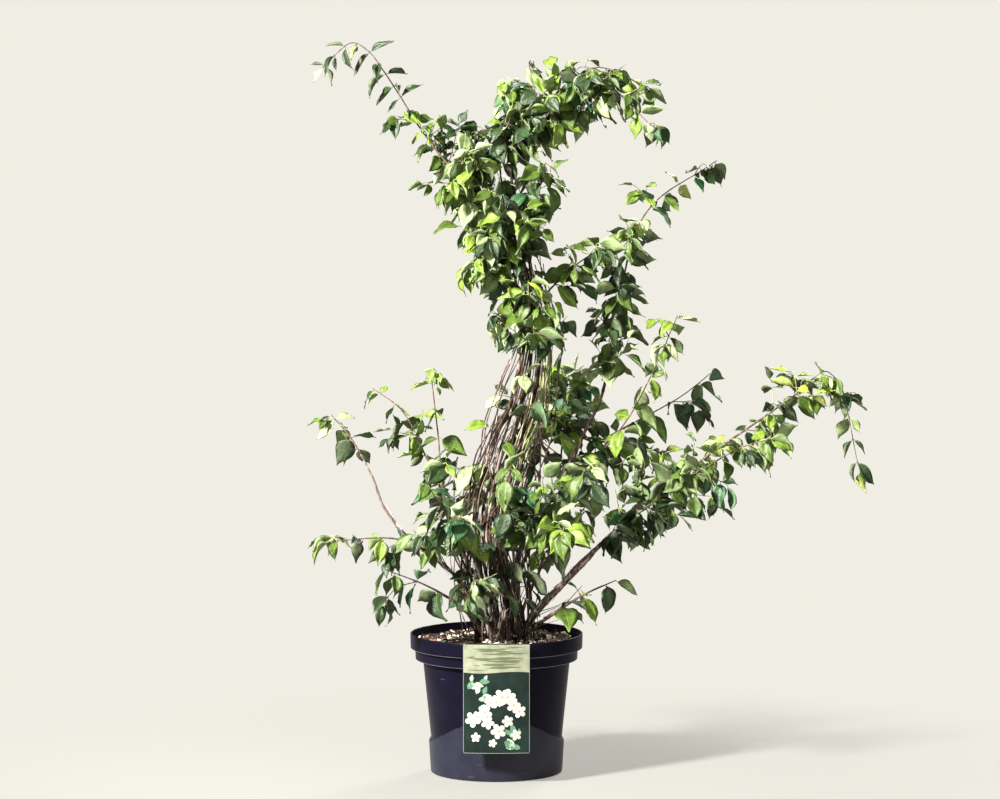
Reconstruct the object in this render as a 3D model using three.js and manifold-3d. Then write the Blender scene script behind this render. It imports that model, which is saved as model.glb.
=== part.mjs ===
// Beautybush in a nursery pot: thin canes rise from the soil in one bundle, pass a narrow waist and
// end in arching leafy shoots. Millimetres, +Z up, origin at the middle of the pot's flat underside,
// and -Y is the side that carries the picture card.
import * as THREE from 'three';
import { mergeVertices } from 'three/addons/utils/BufferGeometryUtils.js';
import Module from 'manifold-3d';

const wasm = await Module();
wasm.setup();

// Driving dimensions
const gap = 0.3; // clearance between neighbouring solids
const jointGap = 0.4; // between a cane and the leafy stem that goes on from it

const pot = {
  height: 226.5,
  rimRadius: 140,
  rimDepth: 24,
  stepRadius: 131.5,
  stepDepth: 18,
  bodyTopRadius: 119.5,
  bodyFootRadius: 106,
  footBandRadius: 110,
  footBandHeight: 52,
  baseRadius: 105,
  edge: 2,
  wall: 2.6,
  floor: 4,
  facets: 28,
};

const soil = { top: 215.5, edgeDrop: 3, flatRadius: 84, facets: 20 };

const card = {
  width: 107,
  height: 176,
  thickness: 0.9,
  bowRadius: 310,
  clearOfRim: 0.5,
  hookWidth: 24,
  hookRoom: 3.6,
  hookDrop: 9,
  bends: 6,
};

const leaf = {
  length: 61,
  width: 42,
  thickness: 1.4,
  fold: 0.09, // how far the halves rise from the midrib, by the width
  curl: 0.12, // how far the tip bends down, by the length
  widest: 0.36, // where it is widest, by the length
  thickest: 0.24,
  freeRoot: 0.16, // the stretch at its root where it may come close to others on its own twig
};

const bark = { caneSides: 5, caneStep: 96, caneTip: 1.2, stemShare: 0.9, stemStep: 56 };
const twig = { sides: 3, foot: 1.3, tip: 0.8, stemTip: 0.9, sideStemFoot: 1.7, endStem: 1, longest: 74 };

const growth = {
  pairSpacing: 69,
  fewestPairs: 3,
  pairAt: 0.55, // where a pair and a side twig stand in their stretch of the stem
  forkAt: 0.2,
  turnSpread: 0.9,
  shrink: 0.3, // how much smaller the leaves get towards the tip
  sizeLeast: 0.84,
  sizeSpread: 0.3,
  twigOut: 0.85,
  twigForward: 0.5,
  twigLift: 0.15,
  twigLiftSpread: 0.25,
  twigLeast: 0.75,
  twigSpread: 0.5,
  twigTurnSpread: 1.2,
  twigPairAt: 0.55,
  twigPairScale: 0.95,
  twigPairForward: 0.45,
  pairForward: 0.4,
  endLeafAt: 0.97,
  endLeafForward: 2.2,
  lastLeafAt: 0.99,
  lastLeafScale: 0.8,
  lastLeafForward: 2.4,
  hangLeast: 0.35,
  hangSpread: 0.75,
  hangMore: 0.12,
  swingSpread: 0.5,
  rollSpread: 1.5,
  rootDepth: 0.2,
  tries: 8, // other ways a leaf may hang before it is left out
  firstSeed: 1000,
  seedStep: 77,
};

const closestCorners = 0.012; // corners of a joined mass nearer than this would fall together

// The bundle of canes: where its axis leans and how wide it is, by height
const bundle = [
  { up: 213, lean: 12, wide: 42, deep: 34 },
  { up: 300, lean: 0, wide: 46, deep: 38 },
  { up: 380, lean: -10, wide: 50, deep: 40 },
  { up: 510, lean: 14, wide: 50, deep: 40 },
  { up: 605, lean: 44, wide: 42, deep: 36 },
  { up: 680, lean: 60, wide: 32, deep: 30 },
  { up: 770, lean: 53, wide: 30, deep: 30 },
  { up: 850, lean: 32, wide: 32, deep: 32 },
  { up: 930, lean: 16, wide: 36, deep: 34 },
  { up: 1010, lean: 4, wide: 40, deep: 36 },
  { up: 1110, lean: 18, wide: 44, deep: 38 },
];

// Canes. turn is the way a cane leaves the bundle, in degrees from +X towards +Y; slot and ring say
// where it stands in the bundle; leave is the height at which it turns out; crest and tip are
// distances out from the bundle's axis and heights; bow bends the stretch up to the crest; bare is
// the share of its length that carries no leaves. A shoulder is one more point before the crest, and
// bend is the share of its length where a weeping tip goes on as a mass of its own.
const canes = [
  { name: 'top_left', slot: 185, ring: 0.55, turn: 178, leave: 880, crest: [252, 1180], tip: [310, 1138],
    bow: -6, bare: 0.61, thick: 3.8, sprays: 2, sprayLength: 42, leafScale: 0.8 },
  { name: 'top_right', slot: 15, ring: 0.5, turn: 6, leave: 990, crest: [150, 1140], tip: [240, 1110],
    bow: 14, bare: 0.78, thick: 3.9, sprays: 4, sprayLength: 50, leafScale: 1 },
  { name: 'crest', slot: 100, ring: 0.3, turn: 20, leave: 980, crest: [10, 1046], tip: [20, 1082],
    bow: 0, bare: 0.88, thick: 3.5, sprays: 4, sprayLength: 62, leafScale: 1 },
  { name: 'middle_front', slot: 290, ring: 0.7, turn: 250, leave: 830, crest: [46, 890], tip: [72, 940],
    bow: 4, bare: 0.83, thick: 3.1, sprays: 4, sprayLength: 58, leafScale: 1 },
  { name: 'middle_back', slot: 68, ring: 0.72, turn: 100, leave: 840, crest: [56, 905], tip: [86, 950],
    bow: 4, bare: 0.82, thick: 3.1, sprays: 4, sprayLength: 58, leafScale: 1 },
  { name: 'low_front', slot: 255, ring: 0.62, turn: 262, leave: 690, crest: [44, 742], tip: [66, 800],
    bow: 4, bare: 0.8, thick: 2.9, sprays: 4, sprayLength: 46, leafScale: 1 },
  { name: 'low_back', slot: 118, ring: 0.68, turn: 96, leave: 680, crest: [52, 752], tip: [78, 806],
    bow: 4, bare: 0.79, thick: 2.9, sprays: 4, sprayLength: 50, leafScale: 1 },

  { name: 'far_right', slot: 4, ring: 1, turn: 8, leave: 235, crest: [542, 646], tip: [592, 482],
    bow: 30, bare: 0.36, thick: 4, sprays: 3, sprayLength: 44, leafScale: 0.9,
    shoulder: [474, 600], bend: 0.82 },
  { name: 'right_arch', slot: 342, ring: 1, turn: 346, leave: 240, crest: [382, 532], tip: [440, 552],
    bow: 24, bare: 0.4, thick: 3.4, sprays: 3, sprayLength: 46, leafScale: 0.95 },
  { name: 'right_upper', slot: 30, ring: 1, turn: 30, leave: 320, crest: [365, 602], tip: [415, 634],
    bow: 56, bare: 0.5, thick: 3.4, sprays: 4, sprayLength: 60, leafScale: 1 },
  { name: 'right_middle', slot: 15, ring: 0.85, turn: 16, leave: 330, crest: [253, 900], tip: [378, 990],
    bow: -34, bare: 0.52, thick: 3.4, sprays: 4, sprayLength: 50, leafScale: 0.95 },
  { name: 'right_low', slot: 326, ring: 1, turn: 340, leave: 224, crest: [146, 298], tip: [192, 320],
    bow: 4, bare: 0.34, thick: 4.2, sprays: 3, sprayLength: 50, leafScale: 0.95 },
  { name: 'right_low_back', slot: 48, ring: 1, turn: 44, leave: 240, crest: [160, 392], tip: [216, 440],
    bow: 14, bare: 0.46, thick: 3, sprays: 3, sprayLength: 54, leafScale: 1 },
  { name: 'right_front', slot: 308, ring: 1, turn: 308, leave: 330, crest: [186, 470], tip: [236, 512],
    bow: 18, bare: 0.48, thick: 3.2, sprays: 4, sprayLength: 64, leafScale: 1 },

  { name: 'left_far', slot: 172, ring: 1, turn: 172, leave: 290, crest: [238, 540], tip: [272, 578],
    bow: -26, bare: 0.82, thick: 3, sprays: 3, sprayLength: 36, leafScale: 0.95 },
  { name: 'left_up', slot: 152, ring: 1, turn: 152, leave: 350, crest: [166, 580], tip: [222, 616],
    bow: 8, bare: 0.5, thick: 3, sprays: 3, sprayLength: 46, leafScale: 0.9 },
  { name: 'left_low', slot: 194, ring: 1, turn: 188, leave: 235, crest: [165, 380], tip: [286, 380],
    bow: 28, bare: 0.46, thick: 3.2, sprays: 4, sprayLength: 48, leafScale: 0.9 },
  { name: 'left_low_front', slot: 214, ring: 1, turn: 212, leave: 226, crest: [140, 310], tip: [222, 344],
    bow: 10, bare: 0.44, thick: 3.2, sprays: 2, sprayLength: 46, leafScale: 0.9 },
  { name: 'left_front', slot: 238, ring: 1, turn: 236, leave: 320, crest: [150, 440], tip: [196, 488],
    bow: 12, bare: 0.46, thick: 3, sprays: 4, sprayLength: 62, leafScale: 1 },
  { name: 'left_back', slot: 126, ring: 1, turn: 124, leave: 330, crest: [150, 446], tip: [206, 500],
    bow: 12, bare: 0.46, thick: 3, sprays: 4, sprayLength: 62, leafScale: 1 },

  { name: 'back_arch', slot: 72, ring: 1, turn: 58, leave: 460, crest: [178, 616], tip: [244, 640],
    bow: 18, bare: 0.62, thick: 3, sprays: 3, sprayLength: 58, leafScale: 1 },
  { name: 'back_low', slot: 100, ring: 1, turn: 98, leave: 290, crest: [160, 430], tip: [236, 470],
    bow: 16, bare: 0.5, thick: 3, sprays: 3, sprayLength: 58, leafScale: 1 },
  { name: 'front_arch', slot: 282, ring: 1, turn: 280, leave: 390, crest: [150, 498], tip: [206, 520],
    bow: 14, bare: 0.62, thick: 3, sprays: 2, sprayLength: 50, leafScale: 0.95 },
];

// Side shoots that grow straight from a cane: at is the height where they leave it, and out and
// rise lead to their tip.
const sideShoots = [
  { name: 'right_drooping', cane: 'top_right', at: 1040, turn: 326, out: 232, rise: 4, lift: 78,
    sprays: 3, sprayLength: 44, leafScale: 0.95 },
  { name: 'crest_right', cane: 'top_right', at: 1010, turn: 70, out: 58, rise: 114, lift: 6,
    sprays: 3, sprayLength: 50, leafScale: 1 },
  { name: 'high_left', cane: 'top_left', at: 852, turn: 196, out: 78, rise: 144, lift: 8,
    sprays: 4, sprayLength: 54, leafScale: 1 },
  { name: 'high_right', cane: 'top_right', at: 905, turn: 345, out: 44, rise: 80, lift: 6,
    sprays: 4, sprayLength: 46, leafScale: 1 },
  { name: 'middle_left', cane: 'top_left', at: 772, turn: 186, out: 58, rise: 66, lift: 6,
    sprays: 3, sprayLength: 44, leafScale: 1 },
  { name: 'low_right', cane: 'top_right', at: 768, turn: 8, out: 112, rise: 84, lift: 4,
    sprays: 4, sprayLength: 44, leafScale: 1 },
  { name: 'right_thin', cane: 'right_upper', at: 486, turn: 332, out: 182, rise: 256, lift: -50,
    sprays: 3, sprayLength: 46, leafScale: 0.95 },
  { name: 'right_high', cane: 'right_middle', at: 470, turn: 82, out: 208, rise: 168, lift: 22,
    sprays: 3, sprayLength: 58, leafScale: 1 },
  { name: 'left_upright', cane: 'left_up', at: 430, turn: 246, out: 66, rise: 226, lift: 10,
    sprays: 1, sprayLength: 34, leafScale: 0.85 },
  { name: 'low_left', cane: 'left_low_front', at: 270, turn: 282, out: 116, rise: 62, lift: 12,
    sprays: 2, sprayLength: 50, leafScale: 0.95 },
];

const colours = {
  pot: 0x1c1b24,
  soil: 0x4a3527,
  card: 0x2e4a38,
  canes: [0x6e4a33, 0x7c5638, 0x5b3c2b],
  foliage: [0x3f6b33, 0x4f7d36, 0x355c38, 0x6a9440],
};

// Tools
function seeded(seed) {
  let state = seed >>> 0;
  return function () {
    state = (state + 0x6d2b79f5) >>> 0;
    let mixed = Math.imul(state ^ (state >>> 15), 1 | state);
    mixed = (mixed + Math.imul(mixed ^ (mixed >>> 7), 61 | mixed)) ^ mixed;
    return ((mixed ^ (mixed >>> 14)) >>> 0) / 4294967296;
  };
}

function solidOf(geometry) {
  const bare = geometry.clone();
  bare.deleteAttribute('normal');
  bare.deleteAttribute('uv');
  const merged = mergeVertices(bare, 1e-4);
  const vertProperties = new Float32Array(merged.attributes.position.array);
  const triVerts = new Uint32Array(merged.index.array);
  return new wasm.Manifold(new wasm.Mesh({ numProp: 3, vertProperties, triVerts }));
}

function geometryOf(solid) {
  const mesh = solid.getMesh();
  const geometry = new THREE.BufferGeometry();
  geometry.setAttribute('position', new THREE.BufferAttribute(new Float32Array(mesh.vertProperties), 3));
  geometry.setIndex(new THREE.BufferAttribute(new Uint32Array(mesh.triVerts), 1));
  geometry.computeVertexNormals();
  return geometry;
}

// The largest closed piece of a joined solid: sealed hollows are filled and loose scraps dropped.
function wholePiece(solid) {
  const pieces = solid.decompose();
  return pieces.reduce((best, piece) => (piece.volume() > best.volume() ? piece : best));
}

// Whether a solid stays closed when its numbers are rounded: no two corners fall together, and each
// edge is shared by two faces only.
function staysClosed(solid) {
  const geometry = geometryOf(solid);
  geometry.deleteAttribute('normal');
  const merged = mergeVertices(geometry, closestCorners);
  if (merged.attributes.position.count < geometry.attributes.position.count) return false;
  const corners = merged.index.array;
  const uses = new Map();
  corners.forEach((corner, k) => {
    const next = corners[k % 3 === 2 ? k - 2 : k + 1];
    const edge = `${Math.min(corner, next)} ${Math.max(corner, next)}`;
    uses.set(edge, (uses.get(edge) ?? 0) + 1);
  });
  return [...uses.values()].every((count) => count === 2);
}

// A part joined to a whole, or nothing where it stays loose or the two would not close well.
function joined(whole, part) {
  const sum = wholePiece(whole.add(part));
  return sum.volume() > whole.volume() && staysClosed(sum) ? sum : null;
}

function heading(degrees) {
  const angle = THREE.MathUtils.degToRad(degrees);
  return new THREE.Vector3(Math.cos(angle), Math.sin(angle), 0);
}

function bundleAt(up) {
  const last = bundle.length - 2;
  let k = 0;
  while (k < last && up > bundle[k + 1].up) k += 1;
  const low = bundle[k];
  const high = bundle[k + 1];
  const share = THREE.MathUtils.smoothstep(up, low.up, high.up);
  const between = (key) => THREE.MathUtils.lerp(low[key], high[key], share);
  return { lean: between('lean'), wide: between('wide'), deep: between('deep') };
}

function inBundle(cane, up) {
  const here = bundleAt(up);
  const angle = THREE.MathUtils.degToRad(cane.slot);
  const x = here.lean + cane.ring * here.wide * Math.cos(angle);
  const y = cane.ring * here.deep * Math.sin(angle);
  return new THREE.Vector3(x, y, up);
}

// A tapering limb: a regular section drawn along the path, each ring scaled to its own thickness.
function limb(path, sides, steps, footRadius, tipRadius, levelFoot = false) {
  const corners = [];
  for (let k = 0; k < sides; k += 1) {
    const angle = (k / sides) * Math.PI * 2;
    corners.push(new THREE.Vector2(Math.cos(angle), Math.sin(angle)).multiplyScalar(footRadius));
  }
  const section = new THREE.Shape(corners);
  const geometry = new THREE.ExtrudeGeometry(section, { steps, extrudePath: path, bevelEnabled: false });
  const rings = path.getSpacedPoints(steps);
  const position = geometry.attributes.position;
  const corner = new THREE.Vector3();
  for (let k = 0; k < position.count; k += 1) {
    corner.fromBufferAttribute(position, k);
    let nearest = 0;
    rings.forEach((ring, index) => {
      if (ring.distanceTo(corner) < rings[nearest].distanceTo(corner)) nearest = index;
    });
    const taper = THREE.MathUtils.lerp(1, tipRadius / footRadius, nearest / steps);
    corner.sub(rings[nearest]).multiplyScalar(taper).add(rings[nearest]);
    if (levelFoot && nearest === 0) corner.z = rings[0].z;
    position.setXYZ(k, corner.x, corner.y, corner.z);
  }
  return geometry;
}

// The stretch of a path between two distances from its foot.
function stretch(path, from, to, steps) {
  const whole = path.getLength();
  const points = [];
  for (let k = 0; k <= steps; k += 1) {
    points.push(path.getPointAt(THREE.MathUtils.lerp(from, to, k / steps) / whole));
  }
  return new THREE.CatmullRomCurve3(points, false, 'centripetal');
}

// The place and the way of a limb's middle line, at a share of it; it runs straight from ring to ring.
function onLimb(rings, share) {
  const last = rings.length - 2;
  const k = Math.min(last, Math.floor(share * (rings.length - 1)));
  const point = rings[k].clone().lerp(rings[k + 1], share * (rings.length - 1) - k);
  const tangent = rings[k + 1].clone().sub(rings[k]).normalize();
  return { point, tangent };
}

function stemSteps(path) {
  return Math.max(3, Math.round(path.getLength() / bark.stemStep));
}

// One leaf of eight faces, folded along its midrib, its root at the origin and its tip along +X.
function leafSolid(size, extra = 0, freeRoot = 0) {
  const geometry = new THREE.OctahedronGeometry(1, 0);
  const position = geometry.attributes.position;
  for (let k = 0; k < position.count; k += 1) {
    const along = position.getX(k);
    const across = position.getY(k);
    const over = position.getZ(k);
    let x = leaf.widest * size.length * Math.abs(across) + leaf.thickest * size.length * Math.abs(over);
    if (along > 0.5) x = size.length + extra;
    if (along < -0.5) x = freeRoot * size.length;
    const y = Math.sign(across) * Math.abs(across) * (size.width / 2 + extra);
    let z = over * (leaf.thickness / 2 + extra) + Math.abs(across) * leaf.fold * size.width;
    if (along > 0.5) z = -leaf.curl * size.length;
    position.setXYZ(k, x, y, z);
  }
  return geometry;
}

// Growth rule: a stem carries leaves in opposite pairs that turn a quarter from pair to pair and
// hang by their weight, short side twigs that carry one pair more, and a leaf at each end.
function grow(stem, shoot, random) {
  const twigs = [];
  const leaves = [];
  const rings = stem.getSpacedPoints(stemSteps(stem));
  const pairs = Math.max(growth.fewestPairs, Math.round(stem.getLength() / growth.pairSpacing));
  const sprayEvery = Math.max(1, Math.floor(pairs / (shoot.sprays + 1)));
  const down = new THREE.Vector3(0, 0, -1);

  function sideOf(tangent, quarter) {
    const flat = new THREE.Vector3().crossVectors(tangent, down);
    if (flat.length() < 0.2) flat.set(1, 0, 0);
    flat.normalize();
    return flat.applyAxisAngle(tangent, quarter);
  }

  function addLeaf(root, tangent, side, scale, forward, onTwig) {
    const ways = [];
    const size = scale * (growth.sizeLeast + growth.sizeSpread * random());
    for (let k = 0; k < growth.tries; k += 1) {
      const hang = growth.hangLeast + growth.hangSpread * random() + growth.hangMore * k;
      const swing = (random() - 0.5) * growth.swingSpread * (1 + k);
      const roll = (random() - 0.5) * growth.rollSpread;
      ways.push({ hang, swing, roll });
    }
    const length = leaf.length * size;
    const width = leaf.width * size;
    leaves.push({ root, tangent, side, forward, length, width, ways, onTwig });
  }

  function addTwig(k, quarter, scale) {
    const fork = onLimb(rings, (k + growth.forkAt) / pairs);
    const out = sideOf(fork.tangent, quarter + Math.PI * Math.round(random()));
    const way = out.multiplyScalar(growth.twigOut).addScaledVector(fork.tangent, growth.twigForward);
    way.z += growth.twigLift + growth.twigLiftSpread * random();
    way.normalize();
    const wanted = shoot.sprayLength * (growth.twigLeast + growth.twigSpread * random());
    const tip = fork.point.clone().addScaledVector(way, Math.min(twig.longest, wanted));
    const index = twigs.length;
    twigs.push(new THREE.LineCurve3(fork.point, tip));
    const pairPlace = fork.point.clone().lerp(tip, growth.twigPairAt);
    const side = sideOf(way, (random() - 0.5) * growth.twigTurnSpread);
    const pairScale = scale * growth.twigPairScale;
    addLeaf(pairPlace, way, side, pairScale, growth.twigPairForward, index);
    addLeaf(pairPlace, way, side.clone().negate(), pairScale, growth.twigPairForward, index);
    const endPlace = fork.point.clone().lerp(tip, growth.endLeafAt);
    addLeaf(endPlace, way, sideOf(way, 0), scale, growth.endLeafForward, index);
  }

  let spraysLeft = shoot.sprays;
  for (let k = 0; k < pairs; k += 1) {
    const share = (k + growth.pairAt) / pairs;
    const { point: root, tangent } = onLimb(rings, share);
    const quarter = (k % 2) * (Math.PI / 2) + (random() - 0.5) * growth.turnSpread;
    const side = sideOf(tangent, quarter);
    const scale = shoot.leafScale * (1 - growth.shrink * share);
    if (spraysLeft > 0 && k % sprayEvery === 0) {
      spraysLeft -= 1;
      addTwig(k, quarter, scale);
    }
    addLeaf(root, tangent, side, scale, growth.pairForward);
    addLeaf(root, tangent, side.clone().negate(), scale, growth.pairForward);
  }
  const end = onLimb(rings, growth.lastLeafAt);
  const endScale = shoot.leafScale * growth.lastLeafScale;
  addLeaf(end.point, end.tangent, sideOf(end.tangent, 0), endScale, growth.lastLeafForward);
  return { twigs, leaves };
}

// How a leaf lies for one of the ways that it may hang.
function leafFrame(one, way) {
  const along = one.side.clone().addScaledVector(one.tangent, one.forward);
  along.addScaledVector(new THREE.Vector3().crossVectors(one.side, one.tangent), way.swing);
  along.normalize();
  along.z -= way.hang;
  along.normalize();
  const across = new THREE.Vector3().crossVectors(new THREE.Vector3(0, 0, 1), along);
  if (across.length() < 0.15) across.copy(one.side).cross(along);
  across.normalize().applyAxisAngle(along, way.roll);
  const over = new THREE.Vector3().crossVectors(along, across);
  const frame = new THREE.Matrix4().makeBasis(along, across, over);
  frame.setPosition(one.root.clone().addScaledVector(along, growth.rootDepth));
  return frame;
}

// Everything placed so far, so that no piece touches one of another node.
const placed = [];

function boxOf(geometry) {
  geometry.computeBoundingBox();
  return geometry.boundingBox.clone();
}

function remember(node, geometry, kind) {
  placed.push({ node, kind, box: boxOf(geometry), solid: solidOf(geometry) });
}

function touches(guard, accept) {
  const box = boxOf(guard);
  const near = placed.filter((item) => accept(item) && item.box.intersectsBox(box));
  if (near.length === 0) return false;
  const solid = solidOf(guard);
  return near.some((item) => !solid.intersect(item.solid).isEmpty());
}

// The scene
const beautybush = new THREE.Group();
beautybush.name = 'beautybush';

function addPiece(name, geometry, color, roughness) {
  const material = new THREE.MeshStandardMaterial({ color, roughness, metalness: 0 });
  const mesh = new THREE.Mesh(geometry, material);
  mesh.name = name;
  beautybush.add(mesh);
  return mesh;
}

// Pot
function innerProfile(clearance) {
  const inside = pot.wall + clearance;
  const stepTop = pot.height - pot.rimDepth;
  const bodyTop = stepTop - pot.stepDepth;
  return [
    [pot.bodyFootRadius - inside - 1, pot.floor + clearance],
    [pot.bodyFootRadius - inside, pot.footBandHeight],
    [pot.bodyTopRadius - inside, bodyTop - pot.wall],
    [pot.stepRadius - inside, bodyTop + pot.wall + clearance],
    [pot.stepRadius - inside + 0.6, stepTop - pot.wall],
    [pot.rimRadius - inside - 0.6, stepTop + pot.wall + clearance],
  ];
}

function potProfile() {
  const stepTop = pot.height - pot.rimDepth;
  const bodyTop = stepTop - pot.stepDepth;
  const outside = [
    [0, 0],
    [pot.baseRadius, 0],
    [pot.baseRadius + pot.edge, pot.edge],
    [pot.footBandRadius, pot.footBandHeight - pot.edge],
    [pot.bodyFootRadius, pot.footBandHeight + pot.edge],
    [pot.bodyTopRadius, bodyTop - pot.edge],
    [pot.stepRadius - pot.edge, bodyTop],
    [pot.stepRadius, bodyTop + pot.edge],
    [pot.stepRadius + 1, stepTop - 1],
    [pot.rimRadius - pot.edge, stepTop],
    [pot.rimRadius - 0.5, stepTop + pot.edge],
    [pot.rimRadius, pot.height - pot.edge],
    [pot.rimRadius - pot.edge / 2, pot.height],
    [pot.rimRadius - pot.wall, pot.height],
  ];
  const inside = innerProfile(0).reverse();
  return [...outside, ...inside, [0, pot.floor]].map(([r, z]) => new THREE.Vector2(r, z));
}

function lathe(points, facets) {
  const geometry = new THREE.LatheGeometry(points, facets);
  geometry.rotateX(Math.PI / 2);
  return geometry;
}

addPiece('pot', lathe(potProfile(), pot.facets), colours.pot, 0.4);

// Soil, level where the canes stand and a little lower at the rim
function soilProfile() {
  const fit = innerProfile(gap + 0.5);
  const rimInside = fit[fit.length - 1][0];
  const top = [
    [rimInside, soil.top - soil.edgeDrop],
    [soil.flatRadius, soil.top],
    [0, soil.top],
  ];
  const points = [[0, pot.floor + gap], [fit[0][0], pot.floor + gap], ...fit.slice(1), ...top];
  return points.map(([r, z]) => new THREE.Vector2(r, z));
}

addPiece('soil', lathe(soilProfile(), soil.facets), colours.soil, 1);

// Picture card, bowed a little round the pot, with a hook over the rim
function cardGeometry() {
  const front = -(pot.rimRadius + card.clearOfRim);
  const inner = card.bowRadius;
  const outer = card.bowRadius + card.thickness;
  const half = card.width / 2 / card.bowRadius;
  const outline = new THREE.Shape();
  outline.absarc(0, 0, outer, -Math.PI / 2 - half, -Math.PI / 2 + half, false);
  outline.absarc(0, 0, inner, -Math.PI / 2 + half, -Math.PI / 2 - half, true);
  const plate = new THREE.ExtrudeGeometry(outline, {
    depth: card.height,
    steps: 1,
    bevelEnabled: false,
    curveSegments: card.bends,
  });
  const top = pot.height + gap + card.thickness;
  plate.translate(0, front + inner, top - card.height);
  const legBack = -(pot.rimRadius - pot.wall - card.hookRoom);
  const legFront = legBack - card.thickness;
  const lip = front - card.thickness / 2;
  const over = new THREE.Shape();
  over.moveTo(lip, top);
  over.lineTo(lip, top - card.thickness);
  over.lineTo(legFront, top - card.thickness);
  over.lineTo(legFront, top - card.hookDrop);
  over.lineTo(legBack, top - card.hookDrop);
  over.lineTo(legBack, top);
  const hook = new THREE.ExtrudeGeometry(over, { depth: card.hookWidth, steps: 1, bevelEnabled: false });
  // its profile is drawn as (y, z), and this turn lays its depth along x
  const turn = new THREE.Matrix4().makeBasis(
    new THREE.Vector3(0, 1, 0),
    new THREE.Vector3(0, 0, 1),
    new THREE.Vector3(1, 0, 0),
  );
  hook.applyMatrix4(turn);
  hook.translate(-card.hookWidth / 2, 0, 0);
  return geometryOf(wholePiece(solidOf(plate).add(solidOf(hook))));
}

addPiece('card', cardGeometry(), colours.card, 0.5);

// Canes
const routes = {};
const shoots = [];
const bundleStep = 90; // between the points of a route inside the bundle
const freeStep = 90; // a free stretch longer than this has a point at its middle

function routeOf(cane) {
  const points = [];
  const foot = soil.top + gap;
  const rise = cane.leave - foot;
  const rounds = Math.max(1, Math.round(rise / bundleStep));
  for (let k = 0; k <= rounds; k += 1) points.push(inBundle(cane, foot + (rise * k) / rounds));
  const axis = new THREE.Vector3(bundleAt(cane.leave).lean, 0, 0);
  const way = heading(cane.turn);
  const outAt = ([out, up]) => axis.clone().addScaledVector(way, out).setZ(up);
  const start = points[points.length - 1];
  const crest = outAt(cane.crest);
  const rising = crest.clone().sub(start);
  const level = new THREE.Vector3(rising.x, rising.y, 0).length();
  const upward = way.clone().multiplyScalar(-rising.z).setZ(level).normalize();
  const middle = start.clone().addScaledVector(rising, 0.5).addScaledVector(upward, cane.bow);
  if (rising.length() > freeStep) points.push(middle);
  if (cane.shoulder) points.push(outAt(cane.shoulder));
  points.push(crest, outAt(cane.tip));
  return new THREE.CatmullRomCurve3(points, false, 'centripetal');
}

canes.forEach((cane, index) => {
  const path = routeOf(cane);
  const whole = path.getLength();
  const bareEnd = whole * cane.bare;
  const steps = Math.max(3, Math.round(bareEnd / bark.caneStep));
  const joinRadius = THREE.MathUtils.lerp(cane.thick, bark.caneTip, cane.bare);
  const lower = stretch(path, 0, bareEnd, steps * 2);
  const geometry = limb(lower, bark.caneSides, steps, cane.thick, joinRadius, true);
  const name = `cane_${cane.name}`;
  addPiece(name, geometry, colours.canes[index % colours.canes.length], 0.85);
  remember(name, geometry, 'cane');
  const rings = lower.getSpacedPoints(steps);
  routes[cane.name] = { rings, footRadius: cane.thick, tipRadius: joinRadius };
  const bend = cane.bend ? whole * cane.bend : whole;
  const node = `foliage_${cane.name}`;
  const stem = stretch(path, bareEnd + jointGap, bend, 8);
  shoots.push({ ...cane, node, stem, radius: joinRadius * bark.stemShare });
  if (cane.bend) {
    const tipStem = stretch(path, bend + 2 * jointGap, whole, 5);
    shoots.push({ ...cane, node: `${node}_tip`, stem: tipStem, radius: twig.endStem, sprays: 2 });
  }
});

function stemLimb(stem, footRadius, tipRadius) {
  return limb(stem, twig.sides, stemSteps(stem), footRadius, tipRadius);
}

shoots.forEach((shoot) => {
  shoot.geometry = stemLimb(shoot.stem, shoot.radius, twig.stemTip);
  remember(shoot.node, shoot.geometry, 'stem');
});

// Side shoots. A cane's sides are flat, so a shoot is seated as close to its middle line as they let
// it be.
const seats = [0.8, 0.85, 0.9, 0.95, 1]; // by the cane's radius

function sideStem(shoot, seat, clearance) {
  const cane = routes[shoot.cane];
  let share = 0;
  while (share < 1 && onLimb(cane.rings, share).point.z < shoot.at) share += 0.005;
  share = Math.min(share, 1);
  const { point, tangent } = onLimb(cane.rings, share);
  const radius = THREE.MathUtils.lerp(cane.footRadius, cane.tipRadius, share);
  const way = heading(shoot.turn);
  const square = way.clone().projectOnPlane(tangent).normalize();
  const start = point.clone().addScaledVector(square, radius * seat + clearance);
  const near = start.clone().addScaledVector(square, 8);
  const tip = start.clone().addScaledVector(way, shoot.out);
  tip.z += shoot.rise;
  const knee = start.clone().lerp(tip, 0.5);
  knee.z += shoot.lift;
  return new THREE.CatmullRomCurve3([start, near, knee, tip], false, 'centripetal');
}

sideShoots.forEach((shoot) => {
  const node = `foliage_${shoot.name}`;
  const seat = seats.find((one) => {
    const guard = stemLimb(sideStem(shoot, one, 0), twig.sideStemFoot, twig.stemTip + 2 * gap);
    return !touches(guard, () => true);
  });
  const stem = sideStem(shoot, seat, gap);
  const geometry = stemLimb(stem, twig.sideStemFoot, twig.stemTip);
  remember(node, geometry, 'stem');
  shoots.push({ ...shoot, node, stem, geometry });
});

// Foliage grows once every stem stands, so that no leaf of one mass bars the stem of another
const masses = shoots.map((shoot, index) => {
  const plan = grow(shoot.stem, shoot, seeded(growth.firstSeed + index * growth.seedStep));
  return { node: shoot.node, solid: solidOf(shoot.geometry), ...plan, standing: [] };
});

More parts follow.
